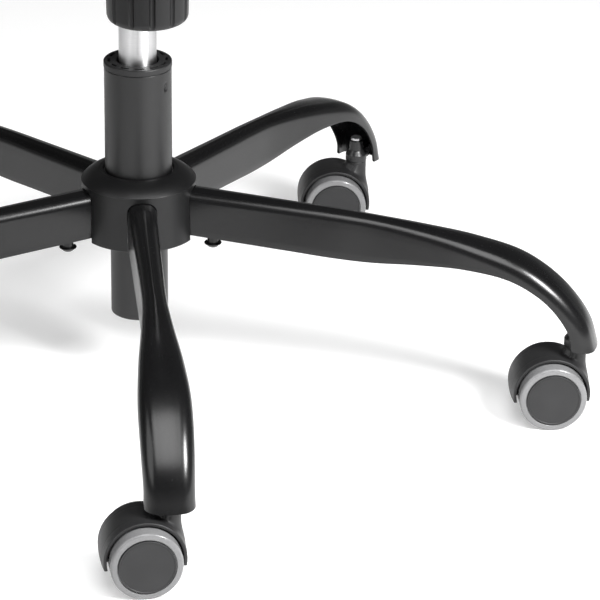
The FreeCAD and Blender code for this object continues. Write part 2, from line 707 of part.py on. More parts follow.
def mechanism_housing():
    """Pressed housing with the cylinder sleeve, the lever's lugs and the pivot holes."""
    half = HOUSING_HALF_WIDTH
    inner = half - HOUSING_WALL
    floor_top = HOUSING_FLOOR_Z + HOUSING_WALL
    tray = block(-half, half, HOUSING_FRONT_Y, HOUSING_BACK_Y, HOUSING_FLOOR_Z, HOUSING_TOP_Z)
    tray = tray.cut(block(
        -inner, inner, HOUSING_FRONT_Y + HOUSING_WALL, HOUSING_BACK_Y - HOUSING_WALL,
        floor_top, HOUSING_TOP_Z + CUT_PAST,
    ))
    relief_y = TILT_PIVOT_Y - HOUSING_RELIEF_LEAD
    relief_run = HOUSING_BACK_Y + CUT_PAST - relief_y
    relief_drop = relief_run * math.tan(math.radians(HOUSING_RELIEF_DEG))
    wedge = closed_wire(
        [(relief_y, HOUSING_TOP_Z), (relief_y + relief_run, HOUSING_TOP_Z),
         (relief_y + relief_run, HOUSING_TOP_Z - relief_drop)],
        lambda y, z: V(-half - CUT_PAST, y, z),
    )
    tray = tray.cut(Part.Face(wedge).extrude(V(2 * (half + CUT_PAST), 0, 0)))
    sleeve = rod(SOCKET_SLEEVE_R, SLEEVE_BOTTOM_Z, SLEEVE_TOP_Z)
    lug_top = LEVER_Z + LUG_HALF_WIDTH
    lug_y = LEVER_R + LUG_GAP
    tray = tray.fuse(sleeve)
    for side in (-1, 1):
        y0, y1 = sorted((side * lug_y, side * (lug_y + LUG_THICKNESS)))
        tray = tray.fuse(block(
            LEVER_PIVOT_X - LUG_HALF_WIDTH, LEVER_PIVOT_X + LUG_HALF_WIDTH, y0, y1, floor_top, lug_top,
        ))
    bore_r = CYLINDER_R + RUNNING_CLEARANCE
    tray = tray.cut(Part.makeCone(
        bore_r, bore_r - TAPER_DROP, SOCKET_SLEEVE_HEIGHT, V(0, 0, SLEEVE_BOTTOM_Z),
    ))
    tray = tray.cut(cross_bar(TILT_PIN_R + RUNNING_CLEARANCE, half + CUT_PAST, TILT_PIVOT_Y, TILT_PIVOT_Z))
    tray = tray.cut(lever_pin(RUNNING_CLEARANCE))
    tray = tray.cut(rod(BOLT_SLOT_R, HOUSING_FLOOR_Z - CUT_PAST, floor_top + CUT_PAST, 0, KNOB_Y))
    window = block(
        -half - CUT_PAST, -inner + CUT_PAST, -LEVER_WINDOW_HALF_WIDTH, LEVER_WINDOW_HALF_WIDTH,
        LEVER_Z - LEVER_WINDOW_HALF_HEIGHT, LEVER_Z + LEVER_WINDOW_HALF_HEIGHT,
    )
    return tray.cut(window).removeSplitter()


def cross_bar(radius, half_length, y, z):
    """Round bar along X."""
    return Part.makeCylinder(radius, 2 * half_length, V(-half_length, y, z), V(1, 0, 0))


def tilt_pin():
    """Riveted pivot of the seat plate."""
    ear_outer = EAR_INNER_X + EAR_THICKNESS + SLIP_CLEARANCE
    pin = cross_bar(TILT_PIN_R, ear_outer, TILT_PIVOT_Y, TILT_PIVOT_Z)
    for side in (-1, 1):
        start = V(side * ear_outer, TILT_PIVOT_Y, TILT_PIVOT_Z)
        pin = pin.fuse(Part.makeCylinder(TILT_PIN_HEAD_R, TILT_PIN_HEAD, start, V(side, 0, 0)))
    return pin.removeSplitter()


def seat_plate():
    """Plate that the seat is bolted to, with the two ears that turn on the tilt pin."""
    plate = rounded_plate(
        SEAT_BOLTS_X / 2 + SEAT_PLATE_MARGIN, SEAT_BOLTS_Y / 2 + SEAT_PLATE_MARGIN,
        SEAT_PLATE_CORNER_R, SEAT_UNDERSIDE_Z, SEAT_PLATE_THICKNESS, SEAT_BOLTS_CENTRE_Y,
    )
    window = rounded_plate(
        SEAT_WINDOW_X / 2, SEAT_WINDOW_Y / 2, SEAT_WINDOW_CORNER_R,
        SEAT_UNDERSIDE_Z - CUT_PAST, SEAT_PLATE_THICKNESS + 2 * CUT_PAST, SEAT_WINDOW_CENTRE_Y,
    )
    plate = plate.cut(window)
    hole_top = SEAT_UNDERSIDE_Z + SEAT_PLATE_THICKNESS + CUT_PAST
    for side_x in (-1, 1):
        for side_y in (-1, 1):
            x = side_x * SEAT_BOLTS_X / 2
            y = SEAT_BOLTS_CENTRE_Y + side_y * SEAT_BOLTS_Y / 2
            plate = plate.cut(rod(SEAT_BOLT_HOLE_R, SEAT_UNDERSIDE_Z - CUT_PAST, hole_top, x, y))
    for side in (-1, 1):
        x0, x1 = sorted((side * EAR_INNER_X, side * (EAR_INNER_X + EAR_THICKNESS)))
        ear = block(
            x0, x1, TILT_PIVOT_Y - EAR_HALF_WIDTH, TILT_PIVOT_Y + EAR_HALF_WIDTH,
            TILT_PIVOT_Z, SEAT_UNDERSIDE_Z + SEAT_PLATE_THICKNESS / 2,
        )
        foot = Part.makeCylinder(EAR_HALF_WIDTH, EAR_THICKNESS, V(x0, TILT_PIVOT_Y, TILT_PIVOT_Z), V(1, 0, 0))
        plate = plate.fuse(ear.fuse(foot))
    reach = EAR_INNER_X + EAR_THICKNESS + CUT_PAST
    hole = cross_bar(TILT_PIN_R + RUNNING_CLEARANCE, reach, TILT_PIVOT_Y, TILT_PIVOT_Z)
    return plate.cut(hole).removeSplitter()


# Tension bolt, spring and knob

def tension_bolt():
    """Bolt welded under the seat plate, with the knob on its lower end."""
    bolt = rod(BOLT_R, KNOB_BOTTOM_Z + BOLT_END_RISE, SEAT_UNDERSIDE_Z - BOLT_HEAD_HEIGHT, 0, KNOB_Y)
    corner_r = BOLT_HEAD_FLAT / 2 / math.cos(math.pi / BOLT_HEAD_SIDES)
    base = SEAT_UNDERSIDE_Z - BOLT_HEAD_HEIGHT
    corners = []
    for i in range(BOLT_HEAD_SIDES):
        turn = 2 * math.pi * i / BOLT_HEAD_SIDES
        corners.append((corner_r * math.cos(turn), KNOB_Y + corner_r * math.sin(turn)))
    head = Part.Face(closed_wire(corners, lambda x, y: V(x, y, base))).extrude(V(0, 0, BOLT_HEAD_HEIGHT))
    return bolt.fuse(head).removeSplitter()


def tension_knob():
    """Fluted hand knob with the spring's cavity."""
    bottom = KNOB_BOTTOM_Z
    top = bottom + KNOB_HEIGHT
    bore = BOLT_R + RUNNING_CLEARANCE
    knob = turned([
        (bore, bottom),
        (KNOB_BOTTOM_R - KNOB_EDGE_R, bottom),
        round_corner((KNOB_BOTTOM_R - KNOB_EDGE_R, bottom + KNOB_EDGE_R), KNOB_EDGE_R, -90, 0),
        (KNOB_R, top - KNOB_TOP_EDGE_R),
        round_corner((KNOB_R - KNOB_TOP_EDGE_R, top - KNOB_TOP_EDGE_R), KNOB_TOP_EDGE_R, 0, 90),
        (KNOB_CAVITY_R, top),
        (KNOB_CAVITY_R, KNOB_FLOOR_Z),
        (bore, KNOB_FLOOR_Z),
    ])
    flute = rod(FLUTE_R, bottom - CUT_PAST, top + CUT_PAST, KNOB_R)
    for i in range(FLUTE_COUNT):
        knob = knob.cut(around(flute, FLUTE_FIRST_DEG + i * 360.0 / FLUTE_COUNT))
    knob.translate(V(0, KNOB_Y, 0))
    return knob


def lower_spring_washer():
    """Washer between the knob's floor and the spring."""
    bottom = KNOB_FLOOR_Z + RUNNING_CLEARANCE
    return ring(SPRING_WASHER_R, BOLT_R + SLIP_CLEARANCE, bottom, bottom + SPRING_WASHER_THICKNESS, 0, KNOB_Y)


def upper_spring_washer():
    """Washer between the spring and the housing floor."""
    return ring(
        SPRING_WASHER_R, BOLT_SLOT_R, HOUSING_FLOOR_Z - SPRING_WASHER_THICKNESS, HOUSING_FLOOR_Z, 0, KNOB_Y,
    )


def arc_between(start, corner, end):
    """Arc that leaves start and reaches end along the lines to their common corner."""
    middle = (start + end) * 0.5
    half_chord = (end - start).Length / 2
    height = (corner - middle).Length
    side = (corner - start).Length
    sagitta = half_chord * (side - half_chord) / height
    apex = middle + (corner - middle) * (sagitta / height)
    return Part.Arc(start, apex, end).toShape()


def biarc(start, start_way, end, end_way):
    """Two arcs with one tangent at their joint, between two points with given directions."""
    chord = end - start
    ways = start_way + end_way
    reach = chord.dot(ways)
    spread = 2 * (1 - start_way.dot(end_way))
    length = (math.sqrt(reach * reach + spread * chord.dot(chord)) - reach) / spread
    first_corner = start + start_way * length
    second_corner = end - end_way * length
    joint = (first_corner + second_corner) * 0.5
    return [arc_between(start, first_corner, joint), arc_between(joint, second_corner, end)]


def tension_spring():
    """Coil spring round the bolt, one unbroken wire on quarter-turn biarcs."""
    lower = KNOB_FLOOR_Z + SPRING_WASHER_THICKNESS + 2 * RUNNING_CLEARANCE + SPRING_WIRE_R
    upper = HOUSING_FLOOR_Z - SPRING_WASHER_THICKNESS - RUNNING_CLEARANCE - SPRING_WIRE_R
    rise_per_turn = (upper - lower) / SPRING_TURNS
    way_out = 2 * math.pi * SPRING_MEAN_R

    def point(turns):
        angle = 2 * math.pi * turns
        return V(
            SPRING_MEAN_R * math.cos(angle), KNOB_Y + SPRING_MEAN_R * math.sin(angle),
            lower + rise_per_turn * turns,
        )

    def direction(turns):
        angle = 2 * math.pi * turns
        way = V(-way_out * math.sin(angle), way_out * math.cos(angle), rise_per_turn)
        return way.normalize()

    edges = []
    for quarter in range(4 * SPRING_TURNS):
        start = quarter / 4.0
        end = (quarter + 1) / 4.0
        edges.extend(biarc(point(start), direction(start), point(end), direction(end)))
    circle = Part.Circle(point(0), direction(0), SPRING_WIRE_R).toShape()
    spring = Part.Wire(edges).makePipeShell([Part.Wire([circle])], True, False)
    gaps = []
    samples = SPRING_GAP_SAMPLES
    nearby = range(-SPRING_GAP_REACH, SPRING_GAP_REACH + 1)
    for i in range(samples + 1):
        here = point(i / samples)
        gaps.extend((point(1 + (i + j) / samples) - here).Length for j in nearby)
    print("tension_spring least gap to itself:", round(min(gaps) - 2 * SPRING_WIRE_R, 2))
    return spring


# Height lever

def lever_pin(grow=0.0):
    """Pivot of the height lever, grown by a clearance for its holes."""
    half = LEVER_R + LUG_GAP + LUG_THICKNESS
    return Part.makeCylinder(LEVER_PIN_R + grow, 2 * half, V(LEVER_PIVOT_X, -half, LEVER_Z), V(0, 1, 0))


def height_lever():
    """Lever from over the release pin out through the housing wall."""
    start = V(LEVER_INNER_X, 0, LEVER_Z)
    bar = Part.makeCylinder(LEVER_R, LEVER_LENGTH, start, V(-1, 0, 0))
    return bar.cut(lever_pin(RUNNING_CLEARANCE))


def lever_grip():
    """Flat moulded grip on the lever's outer end."""
    inner_x = LEVER_INNER_X - LEVER_LENGTH + GRIP_OVERLAP
    outer_x = inner_x - GRIP_LENGTH
    neck_half = LEVER_R + GRIP_NECK_WALL

    def section(x, half_width, half_thickness):
        flat = half_width - half_thickness
        points = [
            (-flat, -half_thickness),
            (flat, -half_thickness),
            round_corner((flat, 0), half_thickness, -90, 0),
            round_corner((flat, 0), half_thickness, 0, 90),
            (-flat, half_thickness),
            round_corner((-flat, 0), half_thickness, 90, 180),
            round_corner((-flat, 0), half_thickness, 180, 270),
        ]
        return closed_wire(points, lambda y, z: V(x, y, LEVER_Z + z))

    middle_x = inner_x - GRIP_LENGTH * GRIP_BELLY_SHARE
    grip = Part.makeLoft([
        section(inner_x, neck_half + GRIP_NECK_WIDEN, neck_half),
        section(middle_x, GRIP_HALF_WIDTH, GRIP_HALF_THICKNESS),
        section(outer_x, GRIP_HALF_WIDTH * GRIP_END_SHARE, GRIP_HALF_THICKNESS * GRIP_END_SHARE),
    ], True, False)
    bore_length = CUT_PAST + GRIP_OVERLAP + RUNNING_CLEARANCE
    bore_start = V(inner_x + CUT_PAST, 0, LEVER_Z)
    bore = Part.makeCylinder(LEVER_R + RUNNING_CLEARANCE, bore_length, bore_start, V(-1, 0, 0))
    return grip.cut(bore)


# Casters, modelled with the stem on the Z axis and the axle at +X

def on_axle(shape, side):
    """Move a shape turned about Z to the axle, facing outwards on one side."""
    shape.rotate(ORIGIN, V(1, 0, 0), -90 * side)
    shape.translate(V(TRAIL, 0, WHEEL_R))
    return shape


def wheel(side):
    """Dished wheel with its blind bore and flat outer disc."""
    bore = AXLE_R + RUNNING_CLEARANCE
    cap = WHEEL_FACE_Y - WHEEL_CAP_THICKNESS
    disc_back = WHEEL_FACE_Y - WHEEL_DISC_THICKNESS
    rim_start = WHEEL_INNER_Y + WHEEL_RIM_SETBACK
    edge = WHEEL_DISC_EDGE
    body = turned([
        (bore, WHEEL_INNER_Y),
        (WHEEL_HUB_R, WHEEL_INNER_Y),
        (WHEEL_HUB_R, cap - WHEEL_CAP_BACK),
        (WHEEL_RIM_R - WHEEL_RIM_WALL, cap - WHEEL_CAP_BACK),
        (WHEEL_RIM_R - WHEEL_RIM_WALL, rim_start),
        (WHEEL_RIM_R, rim_start),
        (WHEEL_RIM_R, disc_back),
        (WHEEL_DISC_R, disc_back),
        (WHEEL_DISC_R, WHEEL_FACE_Y - edge),
        (WHEEL_DISC_R - edge, WHEEL_FACE_Y),
        (0, WHEEL_FACE_Y),
        (0, cap),
        (bore, cap),
    ])
    return on_axle(body, side)


def tread(side):
    """Soft tread round the wheel, with a full outer shoulder."""
    inner = WHEEL_RIM_R + RUNNING_CLEARANCE
    start = WHEEL_INNER_Y + WHEEL_RIM_SETBACK
    back = WHEEL_FACE_Y - WHEEL_DISC_THICKNESS - RUNNING_CLEARANCE
    lip = WHEEL_DISC_R + TREAD_LIP_GAP
    face = WHEEL_FACE_Y - TREAD_FACE_SETBACK
    shoulder = TREAD_SHOULDER_R
    body = turned([
        (inner, start),
        (inner, back),
        (lip, back),
        (lip, face),
        round_corner((WHEEL_R - shoulder, face - shoulder), shoulder, 90, 0),
        (WHEEL_R, start + TREAD_INNER_EDGE),
        round_corner((WHEEL_R - TREAD_INNER_EDGE, start + TREAD_INNER_EDGE), TREAD_INNER_EDGE, 0, -90),
    ])
    return on_axle(body, side)


def hood():
    """Moulded hood over both wheels, with the axle's web and the stem's neck."""
    shell = turned([
        (HOOD_INNER_R, -HOOD_RIM_Y),
        (HOOD_RIM_R, -HOOD_RIM_Y),
        ((HOOD_R, 0), (HOOD_RIM_R, HOOD_RIM_Y)),
        (HOOD_INNER_R, HOOD_RIM_Y),
    ])
    web = rod(HOOD_INNER_R + HOOD_WALL / 2, -HOOD_WEB_HALF, HOOD_WEB_HALF)
    skirt_z = WHEEL_R - HOOD_RIM_R * math.sin(math.radians(HOOD_SKIRT_DEG))
    past_rim = HOOD_RIM_Y + CUT_PAST
    keep = block(TRAIL - 2 * HOOD_R, TRAIL + 2 * HOOD_R, -past_rim, past_rim, skirt_z, NECK_TOP_Z)
    wheel_room = on_axle(rod(HOOD_INNER_R, -past_rim, past_rim), 1)
    neck = rod(NECK_R, WHEEL_R, NECK_TOP_Z).cut(wheel_room)
    body = on_axle(shell, 1).fuse(on_axle(web, 1)).common(keep).fuse(neck)
    body = body.cut(on_axle(rod(AXLE_R, -HOOD_RIM_Y, HOOD_RIM_Y), 1))
    stem_hole = rod(STEM_R, NECK_TOP_Z - STEM_ROOT_DEPTH, NECK_TOP_Z + CUT_PAST)
    return body.cut(stem_hole).removeSplitter()


def stem():
    """Steel stem pressed into the hood, with its head above the socket."""
    head = SOCKET_BOTTOM_Z + SOCKET_HEIGHT + SEAT_GAP
    top = head + STEM_HEAD_HEIGHT
    edge = STEM_HEAD_EDGE
    return turned([
        (0, NECK_TOP_Z - STEM_ROOT_DEPTH),
        (STEM_R, NECK_TOP_Z - STEM_ROOT_DEPTH),
        (STEM_R, head),
        (STEM_HEAD_R, head),
        (STEM_HEAD_R, top - edge),
        (STEM_HEAD_R - edge, top),
        (0, top),
    ])


def axle():
    """Axle pressed through the hood's web."""
    half = WHEEL_FACE_Y - WHEEL_CAP_THICKNESS - SLIP_CLEARANCE
    return on_axle(rod(AXLE_R, -half, half), 1)


def caster_pieces(name):
    """Pieces of one caster in its own frame, by node name."""
    return {
        name + "_caster_stem_and_axle": [stem(), axle()],
        name + "_caster_hood": [hood()],
        name + "_caster_left_wheel": [wheel(-1)],
        name + "_caster_left_tread": [tread(-1)],
        name + "_caster_right_wheel": [wheel(1)],
        name + "_caster_right_tread": [tread(1)],
    }


def placed_caster(shape, leg_angle, trail_angle):
    """Turn a caster's piece to its rest angle and move it under its leg's end."""
    shape.rotate(ORIGIN, UP, trail_angle)
    turn = math.radians(leg_angle)
    shape.translate(V(STEM_CIRCLE_R * math.cos(turn), STEM_CIRCLE_R * math.sin(turn), 0))
    return shape


# Assembly

def star_group(shape):
    """One copy of a leg-side piece for each leg."""
    return [around(shape, angle) for _, angle in leg_angles()]


def all_pieces():
    """Every node's solids, by node name."""
    pieces = {}
    one_leg = leg()
    for name, angle in leg_angles():
        pieces[name + "_leg"] = [around(one_leg, angle)]
    pieces["caster_sockets"] = star_group(socket())
    pieces["leg_screws"] = star_group(leg_screw())
    pieces["leg_clamp_plates"] = star_group(clamp_plate())
    for make in (
        hub, hub_cover, column_tube, column_bush, thrust_bearing, piston_rod, rod_clip, gas_cylinder,
        cylinder_gland, release_pin, mechanism_housing, tilt_pin, seat_plate, tension_bolt, tension_knob,
        lower_spring_washer, upper_spring_washer, tension_spring, lever_pin, height_lever, lever_grip,
    ):
        pieces[make.__name__] = [make()]
    for name, angle in leg_angles():
        for node, shapes in caster_pieces(name).items():
            pieces[node] = [placed_caster(shape, angle, CASTER_REST_DEG[name]) for shape in shapes]
    return pieces


def main():
    """Build every node and write its file."""
    os.makedirs("parts", exist_ok=True)
    for node, shapes in all_pieces().items():
        solids = [solid for shape in shapes for solid in shape.Solids]
        shape = solids[0] if len(solids) == 1 else Part.makeCompound(solids)
        if len(solids) != len(shapes) or not shape.isValid():
            print("check", node, "solids", len(solids), "of", len(shapes), "valid", shape.isValid())
        shape.exportStep("parts/" + node + ".step")


main()
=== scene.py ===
"""Looks of an office chair pedestal: a black star base on casters, a gas lift and a tilt mechanism.

Sizes in dataclass fields are millimetres and degrees, as on a drawing, and meshes are in metres.
"""

import json
import logging
import math
from dataclasses import dataclass, field
from enum import Enum
from typing import Callable, Iterable, Sequence

import bmesh
import bpy
from mathutils import Matrix, Quaternion, Vector

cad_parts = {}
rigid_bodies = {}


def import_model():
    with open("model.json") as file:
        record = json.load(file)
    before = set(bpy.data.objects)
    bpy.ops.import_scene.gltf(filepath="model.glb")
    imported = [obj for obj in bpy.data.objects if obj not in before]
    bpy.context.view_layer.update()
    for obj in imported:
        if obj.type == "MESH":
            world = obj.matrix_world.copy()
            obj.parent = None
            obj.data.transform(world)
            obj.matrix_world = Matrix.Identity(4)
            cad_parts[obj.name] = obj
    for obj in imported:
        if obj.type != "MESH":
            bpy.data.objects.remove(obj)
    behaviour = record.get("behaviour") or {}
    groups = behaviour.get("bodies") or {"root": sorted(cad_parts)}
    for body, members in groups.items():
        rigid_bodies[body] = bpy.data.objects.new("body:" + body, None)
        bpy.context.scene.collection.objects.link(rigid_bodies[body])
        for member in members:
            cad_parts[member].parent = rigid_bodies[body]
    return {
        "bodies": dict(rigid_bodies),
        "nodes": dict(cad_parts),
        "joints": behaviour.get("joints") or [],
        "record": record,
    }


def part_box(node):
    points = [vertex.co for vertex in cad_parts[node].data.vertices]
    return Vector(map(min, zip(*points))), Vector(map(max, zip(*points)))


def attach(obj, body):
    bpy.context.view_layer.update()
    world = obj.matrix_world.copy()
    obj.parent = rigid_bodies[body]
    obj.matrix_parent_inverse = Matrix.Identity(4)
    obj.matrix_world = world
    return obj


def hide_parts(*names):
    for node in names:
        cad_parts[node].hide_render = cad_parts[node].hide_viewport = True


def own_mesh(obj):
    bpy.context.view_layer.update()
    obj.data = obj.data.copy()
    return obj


LOG = logging.getLogger("pedestal")
LEG_NAMES = ("front", "right", "back_right", "back_left", "left")

MM = 0.001
SAME_PLACE = 1e-6
SHARP_DEG = 38.0
FLAT_DEG = 1.0
FLUSH = 0.01
RUNNING_GAP = 0.05
EASED_CORNER = 0.3

# Share of a side that a rounding takes up at most, and how far the flat beside its arc is held
ROUNDING_ROOM = 0.46
HOLD_OF_REACH = 0.2
HOLD_OF_ROOM = 0.05

# Octaves of a finish's two noises, the spans of them that are used, and a quarter turn of a highlight
CLOUD_OCTAVES = 4.0
GRAIN_OCTAVES = 3.0
EVEN_MIX = 0.5
MOTTLE_SPAN = (0.3, 0.7)
GRAIN_SPAN = (0.25, 0.75)
QUARTER_TURN = 0.25
WHITE = (1.0, 1.0, 1.0, 1.0)

Outline = list[tuple[float, float]]
Corner = tuple[float, float, float]
Colour = tuple[float, float, float]
Inputs = dict[str | int, object]
Shape = bmesh.types.BMesh
Piece = bpy.types.Object
Socket = bpy.types.NodeSocket
Tree = bpy.types.NodeTree


class Side(Enum):
    """The two wheels of a caster, by the way each faces along the axle."""

    LEFT = -1
    RIGHT = 1


class Grain(Enum):
    """How a finish's fine texture runs, as stretches of the object's axes."""

    EVEN = (1.0, 1.0, 1.0)
    ROUND_Z = (0.04, 0.04, 1.0)


# Finishes


def fill(tree: Tree, node: bpy.types.Node, inputs: Inputs) -> None:
    """Link or set the inputs of a shader node.

    Args:
        tree: Node tree that holds the node.
        node: The node.
        inputs: Sockets to link and values to set, by the input's name or number.
    """
    for label, given in inputs.items():
        if isinstance(given, Socket):
            tree.links.new(given, node.inputs[label])
        else:
            node.inputs[label].default_value = given


def shade(tree: Tree, kind: str, inputs: Inputs, **settings: str) -> bpy.types.Node:
    """Add a shader node.

    Args:
        tree: Node tree of the material.
        kind: Type of the node, without its prefix.
        inputs: Sockets to link and values to set, by the input's name or number.
        settings: Settings of the node itself.

    Returns:
        The node.
    """
    node = tree.nodes.new("ShaderNode" + kind)
    for label, value in settings.items():
        setattr(node, label, value)
    fill(tree, node, inputs)
    return node


@dataclass(frozen=True)
class Finish:
    """A procedural surface finish on object coordinates.

    Attributes:
        name: Name of the material.
        slot: Material slot of the record that the finish belongs to; not used.
        dark: Darker colour of the mottling.
        light: Lighter colour of the mottling.
        roughness: Least and greatest roughness.
        cloud: Waves per metre of the mottling.
        grain: Waves per metre of the fine texture.
        relief_mm: Height of the fine texture.
        run: How the fine texture runs.
        metallic: Share of metal.
        specular: Specular level.
        drawn: How far highlights are drawn out along Z by a finish ground round it.
    """

    name: str
    slot: str
    dark: Colour
    light: Colour
    roughness: tuple[float, float]
    cloud: float
    grain: float
    relief_mm: float
    run: Grain = Grain.EVEN
    metallic: float = 0.0
    specular: float = 0.5
    drawn: float = 0.0

    def material(self) -> bpy.types.Material:
        """Build the material once and give it back after that.

        Returns:
            The material with this finish's node tree.
        """
        found = bpy.data.materials.get(self.name)
        if found is not None:
            return found
        made = bpy.data.materials.new(self.name)
        made.use_nodes = True
        tree = made.node_tree
        place = shade(tree, "TexCoord", {}).outputs["Object"]
        cloud = self._noise(tree, place, self.cloud, CLOUD_OCTAVES)
        run = shade(tree, "Mapping", {"Vector": place, "Scale": self.run.value}).outputs["Vector"]
        grain = self._noise(tree, run, self.grain, GRAIN_OCTAVES)
        bump = shade(tree, "Bump", {"Strength": 1.0, "Distance": self.relief_mm * MM, "Height": grain})
        inputs: Inputs = {
            "Metallic": self.metallic,
            "Specular IOR Level": self.specular,
            "Base Color": self._colour(tree, cloud, grain),
            "Roughness": self._roughness(tree, grain),
            "Normal": bump.outputs["Normal"],
        }
        if self.drawn:
            inputs["Tangent"] = self._round_z(tree, place)
            inputs["Anisotropic"] = self.drawn
            inputs["Anisotropic Rotation"] = QUARTER_TURN
        fill(tree, tree.nodes["Principled BSDF"], inputs)
        return made

    @staticmethod
    def _noise(tree: Tree, place: Socket, scale: float, detail: float) -> Socket:
        """Noise texture of some waves per metre and octaves."""
        return shade(tree, "TexNoise", {"Vector": place, "Scale": scale, "Detail": detail}).outputs["Fac"]

    def _colour(self, tree: Tree, cloud: Socket, grain: Socket) -> Socket:
        """Mottle the base colour by the broad noise and the fine texture."""
        half = shade(tree, "Math", {0: cloud, 1: EVEN_MIX}, operation="MULTIPLY").outputs["Value"]
        both = shade(tree, "Math", {0: grain, 1: EVEN_MIX, 2: half}, operation="MULTIPLY_ADD")
        ramp = shade(tree, "ValToRGB", {"Fac": both.outputs["Value"]})
        for end, position, colour in zip(ramp.color_ramp.elements, MOTTLE_SPAN, (self.dark, self.light)):
            end.position = position
            end.color = (*colour, 1.0)
        return ramp.outputs["Color"]

    def _roughness(self, tree: Tree, grain: Socket) -> Socket:
        """Vary the roughness with the fine texture."""
        low, high = GRAIN_SPAN
        least, most = self.roughness
        return shade(tree, "MapRange", {
            "Value": grain, "From Min": low, "From Max": high, "To Min": least, "To Max": most,
        }).outputs["Result"]

    @staticmethod
    def _round_z(tree: Tree, place: Socket) -> Socket:
        """Direction of marks ground round Z, in the world."""
        across = shade(tree, "VectorMath", {0: (0.0, 0.0, 1.0), 1: place}, operation="CROSS_PRODUCT")
        return shade(
            tree, "VectorTransform", {"Vector": across.outputs["Vector"]},
            vector_type="VECTOR", convert_from="OBJECT", convert_to="WORLD",
        ).outputs["Vector"]


POWDER_COAT = Finish(
    "black_powder_coat", "black_steel", (0.003, 0.003, 0.0032), (0.0052, 0.0052, 0.0055),
    (0.22, 0.28), cloud=22.0, grain=900.0, relief_mm=0.0012, specular=0.4,
)
COLUMN_COAT = Finish(
    "satin_column_coat", "black_steel", (0.003, 0.003, 0.0032), (0.0055, 0.0055, 0.0058),
    (0.36, 0.44), cloud=22.0, grain=900.0, relief_mm=0.004, specular=0.52,
)
PLATE_COAT = Finish(
    "matte_plate_coat", "black_steel", (0.005, 0.005, 0.0053), (0.009, 0.009, 0.0094),
    (0.7, 0.8), cloud=22.0, grain=900.0, relief_mm=0.006, specular=0.1,
)
SATIN_MOULDING = Finish(
    "satin_black_moulding", "black_plastic", (0.003, 0.003, 0.0032), (0.0052, 0.0052, 0.0055),
    (0.34, 0.44), cloud=35.0, grain=1900.0, relief_mm=0.006, specular=0.36,
)
MOULDED_BLACK = Finish(
    "moulded_black", "black_plastic", (0.009, 0.009, 0.0094), (0.0145, 0.0145, 0.015),
    (0.42, 0.54), cloud=35.0, grain=1900.0, relief_mm=0.02, specular=0.45,
)
MOULDED_GREY = Finish(
    "moulded_grey", "grey_disc", (0.012, 0.012, 0.0125), (0.021, 0.021, 0.0218),
    (0.45, 0.6), cloud=60.0, grain=2200.0, relief_mm=0.03, specular=0.4,
)
SOFT_TREAD = Finish(
    "soft_grey_tread", "grey_tread", (0.155, 0.155, 0.157), (0.19, 0.19, 0.193),
    (0.16, 0.26), cloud=90.0, grain=700.0, relief_mm=0.012, specular=0.5,
)
GROUND_STEEL = Finish(
    "ground_steel", "bright_steel", (0.62, 0.62, 0.625), (0.76, 0.76, 0.765),
    (0.3, 0.38), cloud=40.0, grain=2600.0, relief_mm=0.003, run=Grain.ROUND_Z, metallic=1.0, drawn=0.85,
)
ZINC_PLATE = Finish(
    "zinc_plate", "plated_steel", (0.42, 0.42, 0.41), (0.58, 0.58, 0.565),
    (0.28, 0.42), cloud=120.0, grain=1400.0, relief_mm=0.008, metallic=1.0,
)
SPRING_WIRE = Finish(
    "oiled_spring_wire", "spring_steel", (0.03, 0.03, 0.032), (0.06, 0.06, 0.063),
    (0.28, 0.4), cloud=150.0, grain=1500.0, relief_mm=0.006, metallic=0.6,
)
CAST_ALLOY = Finish(
    "sand_cast_alloy", "hub_casting", (0.2, 0.2, 0.205), (0.33, 0.33, 0.335),
    (0.5, 0.68), cloud=80.0, grain=800.0, relief_mm=0.06, metallic=0.9,
)
SOCKET_BLACK = Finish(
    "blackened_socket", "black_steel", (0.009, 0.009, 0.0095), (0.016, 0.016, 0.0165),
    (0.24, 0.36), cloud=90.0, grain=1200.0, relief_mm=0.01,
)


# Mesh helpers


def rounded(corners: Sequence[Corner], steps: int = 4, closed: bool = True) -> Outline:
    """Round the corners of an outline, with a point close to each end of an arc to hold the flats flat.

    Args:
        corners: Corners as (a, b, rounding radius) in millimetres.
        steps: Steps of each arc.
        closed: Whether the last corner joins the first.

    Returns:
        Points of the rounded outline in millimetres.
    """
    count = len(corners)
    path: Outline = []
    for i, (a, b, radius) in enumerate(corners):
        here = Vector((a, b))
        if radius <= 0.0 or (not closed and i in (0, count - 1)):
            path.append((a, b))
            continue
        back = Vector(corners[i - 1][:2]) - here
        ahead = Vector(corners[(i + 1) % count][:2]) - here
        room = ROUNDING_ROOM * min(back.length, ahead.length)
        back.normalize()
        ahead.normalize()
        half = 0.5 * back.angle(ahead)
        reach = min(radius / math.tan(half), room)
        hold = min(HOLD_OF_REACH * reach, HOLD_OF_ROOM * room)
        centre = here + (back + ahead).normalized() * (reach / math.cos(half))
        start = here + back * reach - centre
        sweep = start.angle_signed(here + ahead * reach - centre)
        path.append(tuple(here + back * (reach + hold)))
        for k in range(steps + 1):
            turn = Matrix.Rotation(-sweep * k / steps, 2)
            path.append(tuple(centre + turn @ start))
        path.append(tuple(here + ahead * (reach + hold)))
    return path


def skin(bm: Shape, rings: Sequence[Sequence[bmesh.types.BMVert]], loop: bool, closed: bool) -> None:
    """Join rows of vertices with quads.

    Args:
        bm: Mesh that holds the vertices.
        rings: Rows of equally many vertices.
        loop: Whether the last row joins the first.
        closed: Whether each row's last vertex joins its first.
    """
    count = len(rings[0])
    pairs = list(zip(rings, rings[1:]))
    if loop:
        pairs.append((rings[-1], rings[0]))
    for near, far in pairs:
        for k in range(count if closed else count - 1):
            after = (k + 1) % count
            bm.faces.new((near[k], near[after], far[after], far[k]))


